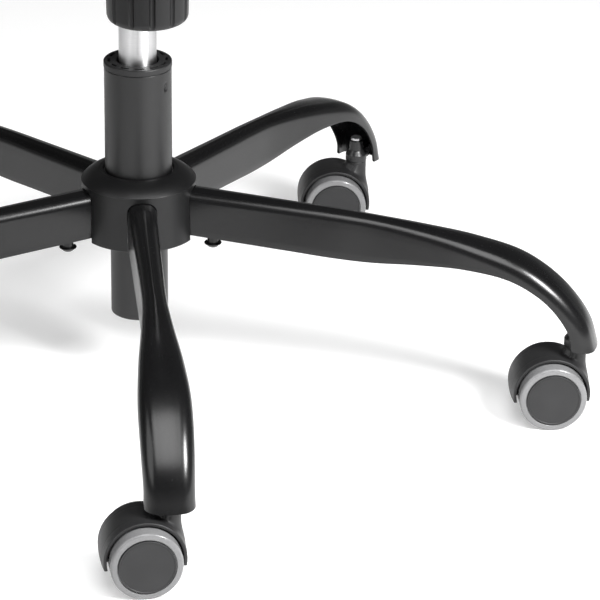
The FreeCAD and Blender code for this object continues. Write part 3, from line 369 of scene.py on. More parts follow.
def lofted(rows: Iterable[Iterable[Vector]], loop: bool, closed: bool = True) -> Shape:
    """Mesh of quads over rows of points in metres, which join as in skin."""
    bm = bmesh.new()
    skin(bm, [[bm.verts.new(p) for p in points] for points in rows], loop, closed)
    return bm


def turned(outline: Outline, segments: int = 96, closed: bool = True) -> Shape:
    """Turn an outline of (radius, height) about Z.

    Args:
        outline: Points in millimetres.
        segments: Steps round the axis.
        closed: Whether the outline is a loop; an open one starts and ends on the axis.

    Returns:
        A new mesh in metres.
    """
    rows = []
    for k in range(segments):
        turn = math.tau * k / segments
        way = Vector((math.cos(turn), math.sin(turn), 0.0))
        rows.append([(way * r + Vector((0.0, 0.0, z))) * MM for r, z in outline])
    return lofted(rows, loop=True, closed=closed)


def prism(near: Iterable[Vector], far: Iterable[Vector]) -> Shape:
    """Make a closed solid between two outlines.

    Args:
        near: Points of one end in metres.
        far: As many points of the other end.

    Returns:
        A new mesh.
    """
    bm = bmesh.new()
    rings = [[bm.verts.new(p) for p in points] for points in (near, far)]
    skin(bm, rings, loop=False, closed=True)
    bm.faces.new(rings[0][::-1])
    bm.faces.new(rings[1])
    return bm


def heights(node: str) -> tuple[float, float]:
    """Lower and upper end of a solid in millimetres."""
    low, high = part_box(node)
    return low.z / MM, high.z / MM


def outer_r(node: str) -> float:
    """Outer radius of a solid round the column in millimetres."""
    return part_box(node)[1].x / MM


def blended(a: float, b: float, reach: float) -> float:
    """The lesser of two numbers, eased where they come closer than a reach."""
    near = max(reach - abs(a - b), 0.0) / reach
    return min(a, b) - 0.25 * near * near * reach


def joined(parts: Iterable[Shape]) -> Shape:
    """Put several meshes into one and free them."""
    whole = bmesh.new()
    for part in parts:
        mesh = bpy.data.meshes.new("part")
        part.to_mesh(mesh)
        part.free()
        whole.from_mesh(mesh)
        bpy.data.meshes.remove(mesh)
    return whole


def smooth(mesh: bpy.types.Mesh, sharp_deg: float = SHARP_DEG) -> None:
    """Shade a mesh smooth, with edges sharper than an angle kept crisp."""
    mesh.polygons.foreach_set("use_smooth", [True] * len(mesh.polygons))
    mesh.set_sharp_from_angle(angle=math.radians(sharp_deg))


def new_piece(name: str, bm: Shape, finish: Finish, place: Matrix = Matrix.Identity(4)) -> Piece:
    """Make an object at the origin from a mesh, with its place in its vertices.

    Args:
        name: Name of the piece.
        bm: Mesh in metres, freed here.
        finish: Finish of the surface.
        place: Where the mesh goes.

    Returns:
        The linked object.
    """
    bmesh.ops.remove_doubles(bm, verts=bm.verts, dist=SAME_PLACE)
    bm.transform(place)
    bmesh.ops.recalc_face_normals(bm, faces=bm.faces)
    mesh = bpy.data.meshes.new(name)
    bm.to_mesh(mesh)
    bm.free()
    smooth(mesh)
    mesh.materials.append(finish.material())
    made = bpy.data.objects.new(name, mesh)
    bpy.context.scene.collection.objects.link(made)
    return made


def settled(made: Piece) -> Piece:
    """Turn an object's modifiers into a plain mesh.

    Args:
        made: Object with modifiers.

    Returns:
        The same object, without modifiers.
    """
    graph = bpy.context.evaluated_depsgraph_get()
    mesh = bpy.data.meshes.new_from_object(made.evaluated_get(graph), depsgraph=graph)
    mesh.name = made.name
    made.modifiers.clear()
    made.data = mesh
    return made


def rounded_copy(node: Piece, name: str, finish: Finish, radius_mm: float) -> Piece:
    """Copy a solid with its sharp edges rounded.

    Args:
        node: Solid to copy.
        name: Name of the new piece.
        finish: Finish of the surface.
        radius_mm: Rounding of the edges.

    Returns:
        The new object.
    """
    bm = bmesh.new()
    bm.from_mesh(node.data)
    bmesh.ops.remove_doubles(bm, verts=bm.verts, dist=SAME_PLACE)
    bmesh.ops.dissolve_limit(bm, angle_limit=math.radians(FLAT_DEG), verts=bm.verts, edges=bm.edges)
    edges = [e for e in bm.edges if e.is_manifold and e.calc_face_angle(0.0) > math.radians(SHARP_DEG)]
    bmesh.ops.bevel(
        bm, geom=edges, offset=radius_mm * MM, offset_type="OFFSET", segments=2, profile=0.5,
        affect="EDGES", clamp_overlap=True,
    )
    made = new_piece(name, bm, finish)
    weigh = made.modifiers.new("even_flats", "WEIGHTED_NORMAL")
    weigh.keep_sharp = True
    return settled(made)


def dress(made: Piece, body: str, finish: Finish, *nodes: str) -> Piece:
    """Put a piece on its body in place of its solids.

    Args:
        made: The finished piece.
        body: Body that it moves with.
        finish: Its finish, which names the record's slot; not used.
        nodes: Solids that it stands for.

    Returns:
        The same piece.
    """
    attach(made, body)
    if nodes:
        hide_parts(*nodes)
    LOG.info("%s rides on %s, %d faces", made.name, body, len(made.data.polygons))
    return made


def fit(
    name: str, bm: Shape, finish: Finish, body: str, node: str, place: Matrix = Matrix.Identity(4)
) -> Piece:
    """Make a piece and put it on its body in place of its solid."""
    return dress(new_piece(name, bm, finish, place), body, finish, node)


# Node trees


class NodeTree:
    """A geometry node tree with named inputs, ended by realised instances and a material."""

    def __init__(self, name: str, inputs: Sequence[tuple[str, str]]) -> None:
        """Start a tree.

        Args:
            name: Name of the tree.
            inputs: Names and socket types of the inputs besides the geometry and the finish.
        """
        self.tree = bpy.data.node_groups.new(name, "GeometryNodeTree")
        face = self.tree.interface
        face.new_socket("Geometry", in_out="INPUT", socket_type="NodeSocketGeometry")
        for label, kind in inputs:
            face.new_socket(label, in_out="INPUT", socket_type=kind)
        face.new_socket("Finish", in_out="INPUT", socket_type="NodeSocketMaterial")
        face.new_socket("Geometry", in_out="OUTPUT", socket_type="NodeSocketGeometry")
        self.given = self.tree.nodes.new("NodeGroupInput").outputs

    def add(self, kind: str, **links: Socket) -> bpy.types.Node:
        """Add a node and link its inputs.

        Args:
            kind: Type of the node.
            links: Sockets to link, by the input's name with spaces as underscores.

        Returns:
            The node.
        """
        node = self.tree.nodes.new(kind)
        for label, source in links.items():
            self.tree.links.new(source, node.inputs[label.replace("_", " ")])
        return node

    def math(self, operation: str, *sources: Socket) -> Socket:
        """Add a number's operation on one to three sockets and return its value."""
        node = self.tree.nodes.new("ShaderNodeMath")
        node.operation = operation
        for k, source in enumerate(sources):
            self.tree.links.new(source, node.inputs[k])
        return node.outputs["Value"]

    def end(self, shape: Socket) -> None:
        """Realise the shape, set its finish and send it out."""
        real = self.add("GeometryNodeRealizeInstances", Geometry=shape)
        done = self.add(
            "GeometryNodeSetMaterial", Geometry=real.outputs["Geometry"], Material=self.given["Finish"],
        )
        out = self.tree.nodes.new("NodeGroupOutput")
        self.tree.links.new(done.outputs["Geometry"], out.inputs["Geometry"])

    def applied(self, made: Piece, finish: Finish, **values: object) -> Piece:
        """Run the tree on an object and keep the result as a plain mesh.

        Args:
            made: Object whose mesh goes in.
            finish: Finish of the result.
            values: Values of the named inputs, with spaces as underscores.

        Returns:
            The same object with the realised mesh.
        """
        modifier = made.modifiers.new(self.tree.name, "NODES")
        modifier.node_group = self.tree
        keys = {
            item.name: item.identifier
            for item in self.tree.interface.items_tree
            if item.item_type == "SOCKET" and item.in_out == "INPUT"
        }
        for label, value in values.items():
            modifier[keys[label.replace("_", " ")]] = value
        modifier[keys["Finish"]] = finish.material()
        return settled(made)


class Repeat(NodeTree):
    """Copies of one piece, each turned about Z and shifted by a step from the one before."""

    def __init__(self) -> None:
        """Build the tree."""
        super().__init__("repeat_piece", (
            ("Count", "NodeSocketInt"), ("First Turn", "NodeSocketFloat"), ("Turn Step", "NodeSocketFloat"),
            ("Shift Step", "NodeSocketVector"), ("Centre", "NodeSocketVector"),
        ))
        index = self.add("GeometryNodeInputIndex").outputs["Index"]
        turn = self.math("MULTIPLY_ADD", index, self.given["Turn Step"], self.given["First Turn"])
        angles = self.add("ShaderNodeCombineXYZ", Z=turn)
        rotation = self.add("FunctionNodeEulerToRotation", Euler=angles.outputs["Vector"])
        shift = self.add("ShaderNodeVectorMath")
        shift.operation = "SCALE"
        self.tree.links.new(self.given["Shift Step"], shift.inputs[0])
        self.tree.links.new(index, shift.inputs["Scale"])
        points = self.add("GeometryNodePoints", Count=self.given["Count"], Position=shift.outputs["Vector"])
        copies = self.add(
            "GeometryNodeInstanceOnPoints", Points=points.outputs["Points"], Instance=self.given["Geometry"],
            Rotation=rotation.outputs["Rotation"],
        )
        placed = self.add(
            "GeometryNodeTransform", Geometry=copies.outputs["Instances"], Translation=self.given["Centre"],
        )
        self.end(placed.outputs["Geometry"])


class Coil(NodeTree):
    """Round wire wound into a helix about Z."""

    def __init__(self) -> None:
        """Build the tree."""
        super().__init__("coil_of_wire", (
            ("Turns", "NodeSocketFloat"), ("Radius", "NodeSocketFloat"), ("Height", "NodeSocketFloat"),
            ("Wire Radius", "NodeSocketFloat"), ("Steps", "NodeSocketInt"), ("Sides", "NodeSocketInt"),
            ("Centre", "NodeSocketVector"),
        ))
        helix = self.add(
            "GeometryNodeCurveSpiral", Resolution=self.given["Steps"], Rotations=self.given["Turns"],
            Start_Radius=self.given["Radius"], End_Radius=self.given["Radius"], Height=self.given["Height"],
        )
        section = self.add(
            "GeometryNodeCurvePrimitiveCircle", Resolution=self.given["Sides"],
            Radius=self.given["Wire Radius"],
        )
        wire = self.add(
            "GeometryNodeCurveToMesh", Curve=helix.outputs["Curve"], Profile_Curve=section.outputs["Curve"],
        )
        wire.inputs["Fill Caps"].default_value = True
        placed = self.add(
            "GeometryNodeTransform", Geometry=wire.outputs["Mesh"], Translation=self.given["Centre"],
        )
        self.end(placed.outputs["Geometry"])


@dataclass
class Workshop:
    """What all sub-assemblies share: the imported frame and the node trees."""

    frame: dict
    repeat: Repeat = field(default_factory=Repeat)
    coil: Coil = field(default_factory=Coil)

    def node(self, name: str) -> Piece:
        """The object of a solid."""
        return self.frame["nodes"][name]

    def paint(self, finish: Finish, *names: str) -> None:
        """Give the named solids, which stay, their finish."""
        for name in names:
            data = self.node(name).data
            data.materials.clear()
            data.materials.append(finish.material())
            LOG.info("%s keeps its solid in %s", name, finish.name)

    def joint(self, name: str) -> dict:
        """The record of a joint."""
        return next(j for j in self.frame["joints"] if j["name"] == name)

    def leg_turn(self, name: str) -> float:
        """Angle of a leg about the column, in radians."""
        x, y, _ = self.joint(name + "_caster_swivel")["pos_m"]
        return math.atan2(y, x)

    def round_legs(self, made: Piece, finish: Finish) -> Piece:
        """Repeat a piece of the leg along +X for every leg."""
        return self.repeat.applied(
            made, finish, Count=len(LEG_NAMES), First_Turn=self.leg_turn(LEG_NAMES[0]),
            Turn_Step=math.tau / len(LEG_NAMES),
        )


# Star base


@dataclass(frozen=True)
class LegSection:
    """One cross-section of a pressed leg.

    Attributes:
        radius: Distance from the column's axis, or back from the leg's reach if negative or zero.
        rise: Height above the leg's tip.
        lean: Tilt of the section from upright, in degrees.
        depth: Length of its side walls from the ridge down.
        half_width: Half of its width.
        corner: Radius of its two upper corners.
    """

    radius: float
    rise: float
    lean: float
    depth: float
    half_width: float
    corner: float

    def values(self) -> tuple[float, ...]:
        """The section's numbers in order."""
        return (self.radius, self.rise, self.lean, self.depth, self.half_width, self.corner)

    def mixed(self, other: "LegSection", share: float) -> "LegSection":
        """The section that lies a share of the way to another."""
        return LegSection(*(a + (b - a) * share for a, b in zip(self.values(), other.values())))


@dataclass
class StarBase:
    """Five pressed legs with their screws and caster sockets."""

    shop: Workshop
    reach: float = 349.3
    wall: float = 2.0
    crown: float = 0.5
    edge: float = 0.45
    arm_steps: int = 4
    steps_per_span: int = 8
    arm_root: LegSection = LegSection(34.0, 98.1, 4.2, 34.6, 10.7, 7.5)
    arm_end: LegSection = LegSection(152.8, 91.0, 4.2, 36.4, 9.2, 7.3)
    flare: tuple[LegSection, ...] = (
        LegSection(-167.5, 88.6, 6.0, 34.8, 9.2, 7.3),
        LegSection(-130.5, 84.2, 8.0, 27.8, 11.8, 8.3),
        LegSection(-93.5, 77.9, 12.0, 20.1, 15.8, 9.6),
        LegSection(-55.5, 66.6, 20.3, 14.9, 18.6, 10.6),
        LegSection(-20.8, 40.7, 42.8, 13.2, 18.4, 10.6),
        LegSection(-5.6, 18.9, 55.0, 15.0, 17.6, 10.6),
        LegSection(0.0, 0.0, 96.0, 16.5, 17.8, 11.0),
    )
    screw_circle: float = 57.0
    screw_head_r: float = 6.5
    screw_dome: float = 2.8
    screw_flange: float = 0.9
    screw_neck_r: float = 4.2
    socket_flange_r: float = 8.7
    socket_flange: float = 5.5
    socket_top_r: float = 5.4
    socket_bore_r: float = 3.75
    socket_web: float = 5.0
    socket_web_rise: float = 9.0
    stem_inset: float = 16.3
    wall_steps: int = 5
    bend_steps: int = 9
    top_steps: int = 5
    foot_points: int = 4
    screw_crown: tuple[float, float] = (0.55, 0.12)
    screw_foot: float = 0.86
    screw_facets: int = 48
    socket_throat: tuple[float, float] = (0.8, 3.6)
    socket_web_gap: float = 0.8
    socket_web_foot: float = 0.1
    socket_facets: int = 64

    @property
    def tip_z(self) -> float:
        """Height of the leg's tip in millimetres."""
        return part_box("front_leg")[0].z / MM

    def knots(self) -> list[tuple[float, ...]]:
        """Sections from the hub to the tip with real radii."""
        root = self.arm_root.values()
        end = self.arm_end.values()
        arm = [
            tuple(a + (b - a) * k / self.arm_steps for a, b in zip(root, end))
            for k in range(self.arm_steps + 1)
        ]
        curl = [(self.reach + s.radius, *s.values()[1:]) for s in self.flare]
        return arm + curl

    def sections(self) -> list[LegSection]:
        """Sections close together along the leg.

        Returns:
            Sections on a smooth curve through the knots.
        """
        knots = [Vector(knot) for knot in self.knots()]
        steps = [(Vector(b[:2]) - Vector(a[:2])).length for a, b in zip(knots, knots[1:])]
        slopes = [(knots[1] - knots[0]) / steps[0]]
        for k in range(1, len(knots) - 1):
            before = (knots[k] - knots[k - 1]) / steps[k - 1]
            after = (knots[k + 1] - knots[k]) / steps[k]
            share = steps[k] / (steps[k - 1] + steps[k])
            slopes.append(before * share + after * (1.0 - share))
        slopes.append((knots[-1] - knots[-2]) / steps[-1])
        found = []
        for k, step in enumerate(steps):
            for i in range(self.steps_per_span):
                t = i / self.steps_per_span
                rise = t * t * (3.0 - 2.0 * t)
                lead = t * (1.0 - t) ** 2 * step
                trail = t * t * (t - 1.0) * step
                here = knots[k] * (1.0 - rise) + knots[k + 1] * rise + slopes[k] * lead
                here += slopes[k + 1] * trail
                found.append(LegSection(*here))
        found.append(LegSection(*knots[-1]))
        return found

    def half_loop(self, section: LegSection, inset: float, foot: float) -> Outline:
        """Points over a section's arch, from the left wall's foot to the right's.

        Args:
            section: The cross-section.
            inset: How far the arch lies inside the outer face.
            foot: How far its feet stay above the walls' ends.

        Returns:
            Points as (across, depth).
        """
        half = section.half_width - inset
        corner = section.corner - inset
        flat = half - corner
        shoulder = inset + self.crown + corner
        bottom = section.depth - foot
        wall = [
            (-half, bottom + (shoulder - bottom) * k / self.wall_steps) for k in range(self.wall_steps)
        ]
        turns = [math.radians(90.0 * k / self.bend_steps) for k in range(self.bend_steps + 1)]
        bend = [(-flat - corner * math.cos(t), shoulder - corner * math.sin(t)) for t in turns]
        top = [
            (-flat + flat * k / self.top_steps, inset + self.crown * (1.0 - k / self.top_steps) ** 2)
            for k in range(1, self.top_steps + 1)
        ]
        left = wall + bend + top
        return left + [(-a, d) for a, d in reversed(left[:-1])]

    def loop(self, section: LegSection, trim: float) -> list[Vector]:
        """Closed outline of the channel's wall at a section.

        Args:
            section: The cross-section.
            trim: How much the wall is thinned on each face.

        Returns:
            Points in metres, for a leg along +X.
        """
        lean = math.radians(section.lean)
        outer = self.half_loop(section, trim, self.edge)
        inner = self.half_loop(section, self.wall - trim, self.edge)
        edge = self.edge
        ease = EASED_CORNER * edge
        half = section.half_width
        depth = section.depth
        left_foot = [
            (-half + trim + ease, depth - ease),
            (-half + edge, depth),
            (-half + self.wall - edge, depth),
            (-half + self.wall - trim - ease, depth - ease),
        ]
        right_foot = [(-a, d) for a, d in left_foot]
        flat = outer + right_foot + inner[::-1] + left_foot[::-1]
        ridge = self.tip_z + section.rise
        return [
            Vector((section.radius - d * math.sin(lean), a, ridge - d * math.cos(lean))) * MM for a, d in flat
        ]

    def leg(self) -> Shape:
        """One pressed leg along +X, with eased ends.

        Returns:
            A new mesh in metres.
        """
        bm = bmesh.new()
        sections = self.sections()
        before, last = sections[-2:]
        share = self.edge / math.hypot(last.radius - before.radius, last.rise - before.rise)
        start = [p + Vector((-self.edge * MM, 0.0, 0.0)) for p in self.loop(sections[0], self.edge)]
        loops = [start, *(self.loop(section, 0.0) for section in sections[:-1])]
        loops += [self.loop(last.mixed(before, share), 0.0), self.loop(last, self.edge)]
        rings = [[bm.verts.new(p) for p in points] for points in loops]
        skin(bm, rings, loop=False, closed=True)
        arch = len(self.half_loop(last, 0.0, 0.0))
        inner_end = 2 * arch + self.foot_points - 1
        for ring in (rings[0], rings[-1]):
            for pair, k in zip(range(inner_end, 0, -1), range(arch - 1)):
                bm.faces.new((ring[k], ring[k + 1], ring[pair - 1], ring[pair]))
            bm.faces.new(ring[arch - 1:arch + self.foot_points + 1])
            bm.faces.new(ring[inner_end:] + ring[:1])
        return bm

    def screw(self) -> Piece:
        """Domed leg screw with its flange, at the leg along +X.

        Returns:
            The new object.
        """
        bottom, top = heights("leg_screws")
        flange = bottom + self.screw_dome
        crown_r, crown_rise = self.screw_crown
        outline = rounded([
            (0.0, bottom, 0.0),
            (crown_r * self.screw_head_r, bottom + crown_rise * self.screw_dome, 2.0),
            (self.screw_foot * self.screw_head_r, flange, 0.8),
            (self.screw_head_r, flange, 0.35),
            (self.screw_head_r, flange + self.screw_flange, 0.35),
            (self.screw_neck_r, flange + self.screw_flange, 0.3),
            (self.screw_neck_r, top, 0.3),
            (0.0, top, 0.0),
        ], closed=False)
        place = Matrix.Translation((self.screw_circle * MM, 0.0, 0.0))
        dome = turned(outline, self.screw_facets, closed=False)
        return new_piece("domed_leg_screws", dome, POWDER_COAT, place)

    def socket(self) -> Piece:
        """Bell-shaped stem socket at the leg along +X.

        Returns:
            The new object.
        """
        bottom, top = heights("caster_sockets")
        throat_r, throat_rise = self.socket_throat
        bell = turned(rounded([
            (self.socket_bore_r, bottom, 0.3),
            (self.socket_flange_r, bottom, 0.5),
            (self.socket_flange_r, bottom + self.socket_flange, 1.6),
            (self.socket_top_r + throat_r, bottom + self.socket_flange + throat_rise, 3.0),
            (self.socket_top_r, top, 0.9),
            (self.socket_bore_r, top, 0.3),
        ]), self.socket_facets)
        inner = 0.5 * self.socket_flange_r
        outer = self.stem_inset - self.wall - self.socket_web_gap
        half = self.socket_web
        corners = rounded(
            [(inner, -half, 0.0), (outer, -half, 1.0), (outer, half, 1.0), (inner, half, 0.0)],
        )
        ends = (bottom + self.socket_web_foot, bottom + self.socket_web_rise)
        web = prism(*([Vector((x, y, z)) * MM for x, y in corners] for z in ends))
        place = Matrix.Translation(((self.reach - self.stem_inset) * MM, 0.0, 0.0))
        return new_piece("bell_sockets", joined((bell, web)), SOCKET_BLACK, place)

    def build(self) -> None:
        """Make and dress the legs, screws and sockets, and paint the hidden plates."""
        one = self.leg()
        for name in LEG_NAMES:
            place = Matrix.Rotation(self.shop.leg_turn(name), 4, "Z")
            fit("pressed_" + name + "_leg", one.copy(), POWDER_COAT, "base", name + "_leg", place)
        one.free()
        screws = self.shop.round_legs(self.screw(), POWDER_COAT)
        dress(screws, "base", POWDER_COAT, "leg_screws")
        sockets = self.shop.round_legs(self.socket(), SOCKET_BLACK)
        dress(sockets, "base", SOCKET_BLACK, "caster_sockets")
        self.shop.paint(POWDER_COAT, "leg_clamp_plates")
        self.shop.paint(CAST_ALLOY, "hub")


@dataclass
class HubCover:
    """Moulded cover over the hub, slotted for the legs."""

    base: StarBase
    hole_r: float = 26.2
    ring_r: float = 29.5
    crease_r: float = 43.0
    crease_drop: float = 8.3
    skirt_step: float = 0.4
    skirt_flare: float = 1.2
    bulge: float = 1.2
    wall: float = 2.5
    slot_gap: float = 0.5
    slot_from: float = 28.8
    slot_to: float = 60.0
    slot_below: float = 6.0
    ledge: float = 0.7
    dome_steps: int = 12
    facets: int = 160

    def shell(self) -> Shape:
        """The cover without its slots.

        Returns:
            A new mesh in metres.
        """
        bottom, top = heights("hub_cover")
        crease = top - self.crease_drop
        skirt_top = self.crease_r - self.skirt_step
        skirt = skirt_top + self.skirt_flare
        dome = []
        for k in range(1, self.dome_steps):
            t = k / self.dome_steps
            swell = 4.0 * t * (1.0 - t) * self.bulge
            dome.append((self.ring_r + (self.crease_r - self.ring_r) * t + 0.5 * swell,
                         top - self.crease_drop * t + swell, 0.0))
        wall = self.wall
        return turned(rounded([
            (self.hole_r, top - wall, 0.3),
            (self.hole_r, top, 0.6),
            (self.ring_r, top, 0.25),
            *dome,
            (self.crease_r, crease, 0.45),
            (skirt_top, crease - self.skirt_step, 0.2),
            (skirt, bottom, 0.7),
            (skirt - wall, bottom, 0.5),
            (skirt_top - wall, crease - self.skirt_step - wall, 1.0),
            (self.ring_r - self.ledge, top - wall, 0.4),
        ]), self.facets)

    def slots(self) -> Shape:
        """Solids that cut the five arched slots.

        Returns:
            A new mesh in metres.
        """
        base = self.base
        root = base.arm_root
        low = heights("hub_cover")[0]
        parts = []
        for name in LEG_NAMES:
            ends = []
            for radius in (self.slot_from, self.slot_to):
                share = (radius - root.radius) / (base.arm_end.radius - root.radius)
                section = root.mixed(base.arm_end, share)
                ridge = base.tip_z + section.rise
                foot = section.depth - (ridge - low + self.slot_below)
                arch = base.half_loop(section, -self.slot_gap, foot)
                ends.append([Vector((radius, a, ridge - d)) * MM for a, d in arch])
            bar = prism(*ends)
            bar.transform(Matrix.Rotation(base.shop.leg_turn(name), 4, "Z"))
            bmesh.ops.recalc_face_normals(bar, faces=bar.faces)
            parts.append(bar)
        return joined(parts)

    def build(self) -> None:
        """Cut the slots and dress the cover."""
        cover = new_piece("slotted_hub_cover", self.shell(), SATIN_MOULDING)
        cutter = new_piece("slot_cutter", self.slots(), SATIN_MOULDING)
        cut = cover.modifiers.new("slots", "BOOLEAN")
        cut.operation = "DIFFERENCE"
        cut.solver = "EXACT"
        cut.object = cutter
        settled(cover)
        bpy.data.objects.remove(cutter)
        smooth(cover.data)
        dress(cover, "base", SATIN_MOULDING, "hub_cover")


# Gas lift


@dataclass
class LiftColumn:
    """Column tube, its slotted bush and the bright gas cylinder."""

    shop: Workshop
    wall: float = 2.0
    lower_r: float = 21.5
    end_plate: float = 3.0
    end_edge: float = 1.2
    tail_r: float = 4.05
    dent_count: int = 2
    dent_first_deg: float = -39.0
    dent_below_top: float = 11.5
    dent_half_width: float = 1.7
    dent_half_height: float = 3.0
    dent_depth: float = 1.1
    dent_reach: float = 8.0
    dent_rows: int = 16
    flange_edge: float = 1.1
    recess_r: float = 15.8
    recess_depth: float = 6.0
    slot_count: int = 12
    slot_r: float = 21.3
    slot_width: float = 2.2
    slot_deg: float = 19.0
    slot_depth: float = 2.2
    seam_gap: float = 0.35
    taper: float = 0.6
    sleeve_gap: float = 0.35
    mouth_depth: float = 20.0
    mouth_wall: float = 1.6
    head_drop: float = 1.0
    head_chamfer: float = 0.5
    tube_facets: int = 240
    bush_facets: int = 360
    cylinder_facets: int = 128

    def tube(self) -> Shape:
        """Column tube with its crimp dents.

        Returns:
            A new mesh in metres.
        """
        bottom, top = heights("column_tube")
        hub_low, hub_top = heights("hub")
        radius = outer_r("column_tube")
        lower_r = self.lower_r
        wall = self.wall
        dent_z = top - self.dent_below_top
        rows = [
            (radius, dent_z + self.dent_reach * k / self.dent_rows, 0.0)
            for k in range(-self.dent_rows, self.dent_rows + 1)
        ]
        bm = turned(rounded([
            (self.tail_r, bottom, 0.2),
            (lower_r, bottom, self.end_edge),
            (lower_r, hub_low, 1.0),
            (radius, hub_top, 1.0),
            *rows,
            (radius, top, 0.5),
            (radius - wall, top, 0.3),
            (radius - wall, hub_top, 1.0),
            (lower_r - wall, hub_low, 1.0),
            (lower_r - wall, bottom + self.end_plate, 0.5),
            (self.tail_r, bottom + self.end_plate, 0.2),
        ]), self.tube_facets)
        pitch = 360.0 / self.dent_count
        for vert in bm.verts:
            out = math.hypot(vert.co.x, vert.co.y) / MM
            if out < radius - 0.5 * wall:
                continue
            turn = math.degrees(math.atan2(vert.co.y, vert.co.x))
            off = (turn - self.dent_first_deg + 0.5 * pitch) % pitch - 0.5 * pitch
            across = math.radians(off) * radius / self.dent_half_width
            along = (vert.co.z / MM - dent_z) / self.dent_half_height
            push = self.dent_depth * math.exp(-(across ** 4) - along ** 4)
            if push > FLUSH:
                keep = (out - push) / out
                vert.co.x *= keep
                vert.co.y *= keep
        return bm

    def bush(self) -> Shape:
        """Bush flange with its ring of slots.

        Returns:
            A new mesh in metres.
        """
        bottom, top = heights("column_bush")
        seam = heights("column_tube")[1] + self.seam_gap
        radius = outer_r("column_bush")
        bore = outer_r("gas_cylinder") + RUNNING_GAP
        sleeve = radius - self.wall - self.sleeve_gap
        inner = self.slot_r - 0.5 * self.slot_width
        outer = self.slot_r + 0.5 * self.slot_width
        bm = turned(rounded([
            (bore, bottom, 0.3),
            (sleeve, bottom, 0.3),
            (sleeve, seam, 0.0),
            (radius, seam, 0.3),
            (radius, top, self.flange_edge),
            (outer, top, 0.0),
            (inner, top, 0.0),
            (self.recess_r, top, 0.5),
            (self.recess_r, top - self.recess_depth, 0.3),
            (bore, top - self.recess_depth, 0.2),
        ]), self.bush_facets)
        pitch = 360.0 / self.slot_count
        for k in range(self.slot_count):
            middle = -90.0 + k * pitch
            faces = []
            for face in bm.faces:
                spot = face.calc_center_median() / MM
                out = math.hypot(spot.x, spot.y)
                off = (math.degrees(math.atan2(spot.y, spot.x)) - middle + 180.0) % 360.0 - 180.0
                if inner < out < outer and spot.z > top - FLUSH and abs(off) < 0.5 * self.slot_deg:
                    faces.append(face)
            grown = bmesh.ops.extrude_face_region(bm, geom=faces)
            sunk = [v for v in grown["geom"] if isinstance(v, bmesh.types.BMVert)]
            bmesh.ops.translate(bm, verts=sunk, vec=(0.0, 0.0, -self.slot_depth * MM))
            bmesh.ops.delete(bm, geom=faces, context="FACES_ONLY")
        return bm

    def cylinder(self) -> Shape:
        """Bright pressure cylinder with its tapered head.

        Returns:
            A new mesh in metres.
        """
        bottom, top = heights("gas_cylinder")
        radius = outer_r("gas_cylinder")
        pin_r = outer_r("release_pin") + RUNNING_GAP
        mouth_r = radius - self.mouth_wall
        return turned(rounded([
            (pin_r, bottom + self.mouth_depth, 0.0),
            (mouth_r, bottom + self.mouth_depth, 0.0),
            (mouth_r, bottom, 0.3),
            (radius, bottom, 0.4),
            (radius, heights("mechanism_housing")[0], 1.0),
            (radius - self.taper, top - self.head_drop, 0.4),
            (radius - self.taper - self.head_chamfer, top, 0.4),
            (pin_r, top, 0.4),
        ]), self.cylinder_facets)

    def build(self) -> None:
        """Make and dress the lift."""
        fit("crimped_column_tube", self.tube(), COLUMN_COAT, "base", "column_tube")
        fit("slotted_guide_bush", self.bush(), MOULDED_BLACK, "base", "column_bush")
        fit("bright_gas_cylinder", self.cylinder(), GROUND_STEEL, "lift", "gas_cylinder")
        self.shop.paint(GROUND_STEEL, "piston_rod", "release_pin")
        self.shop.paint(MOULDED_BLACK, "cylinder_gland")
        self.shop.paint(ZINC_PLATE, "rod_clip", "thrust_bearing")


# Casters


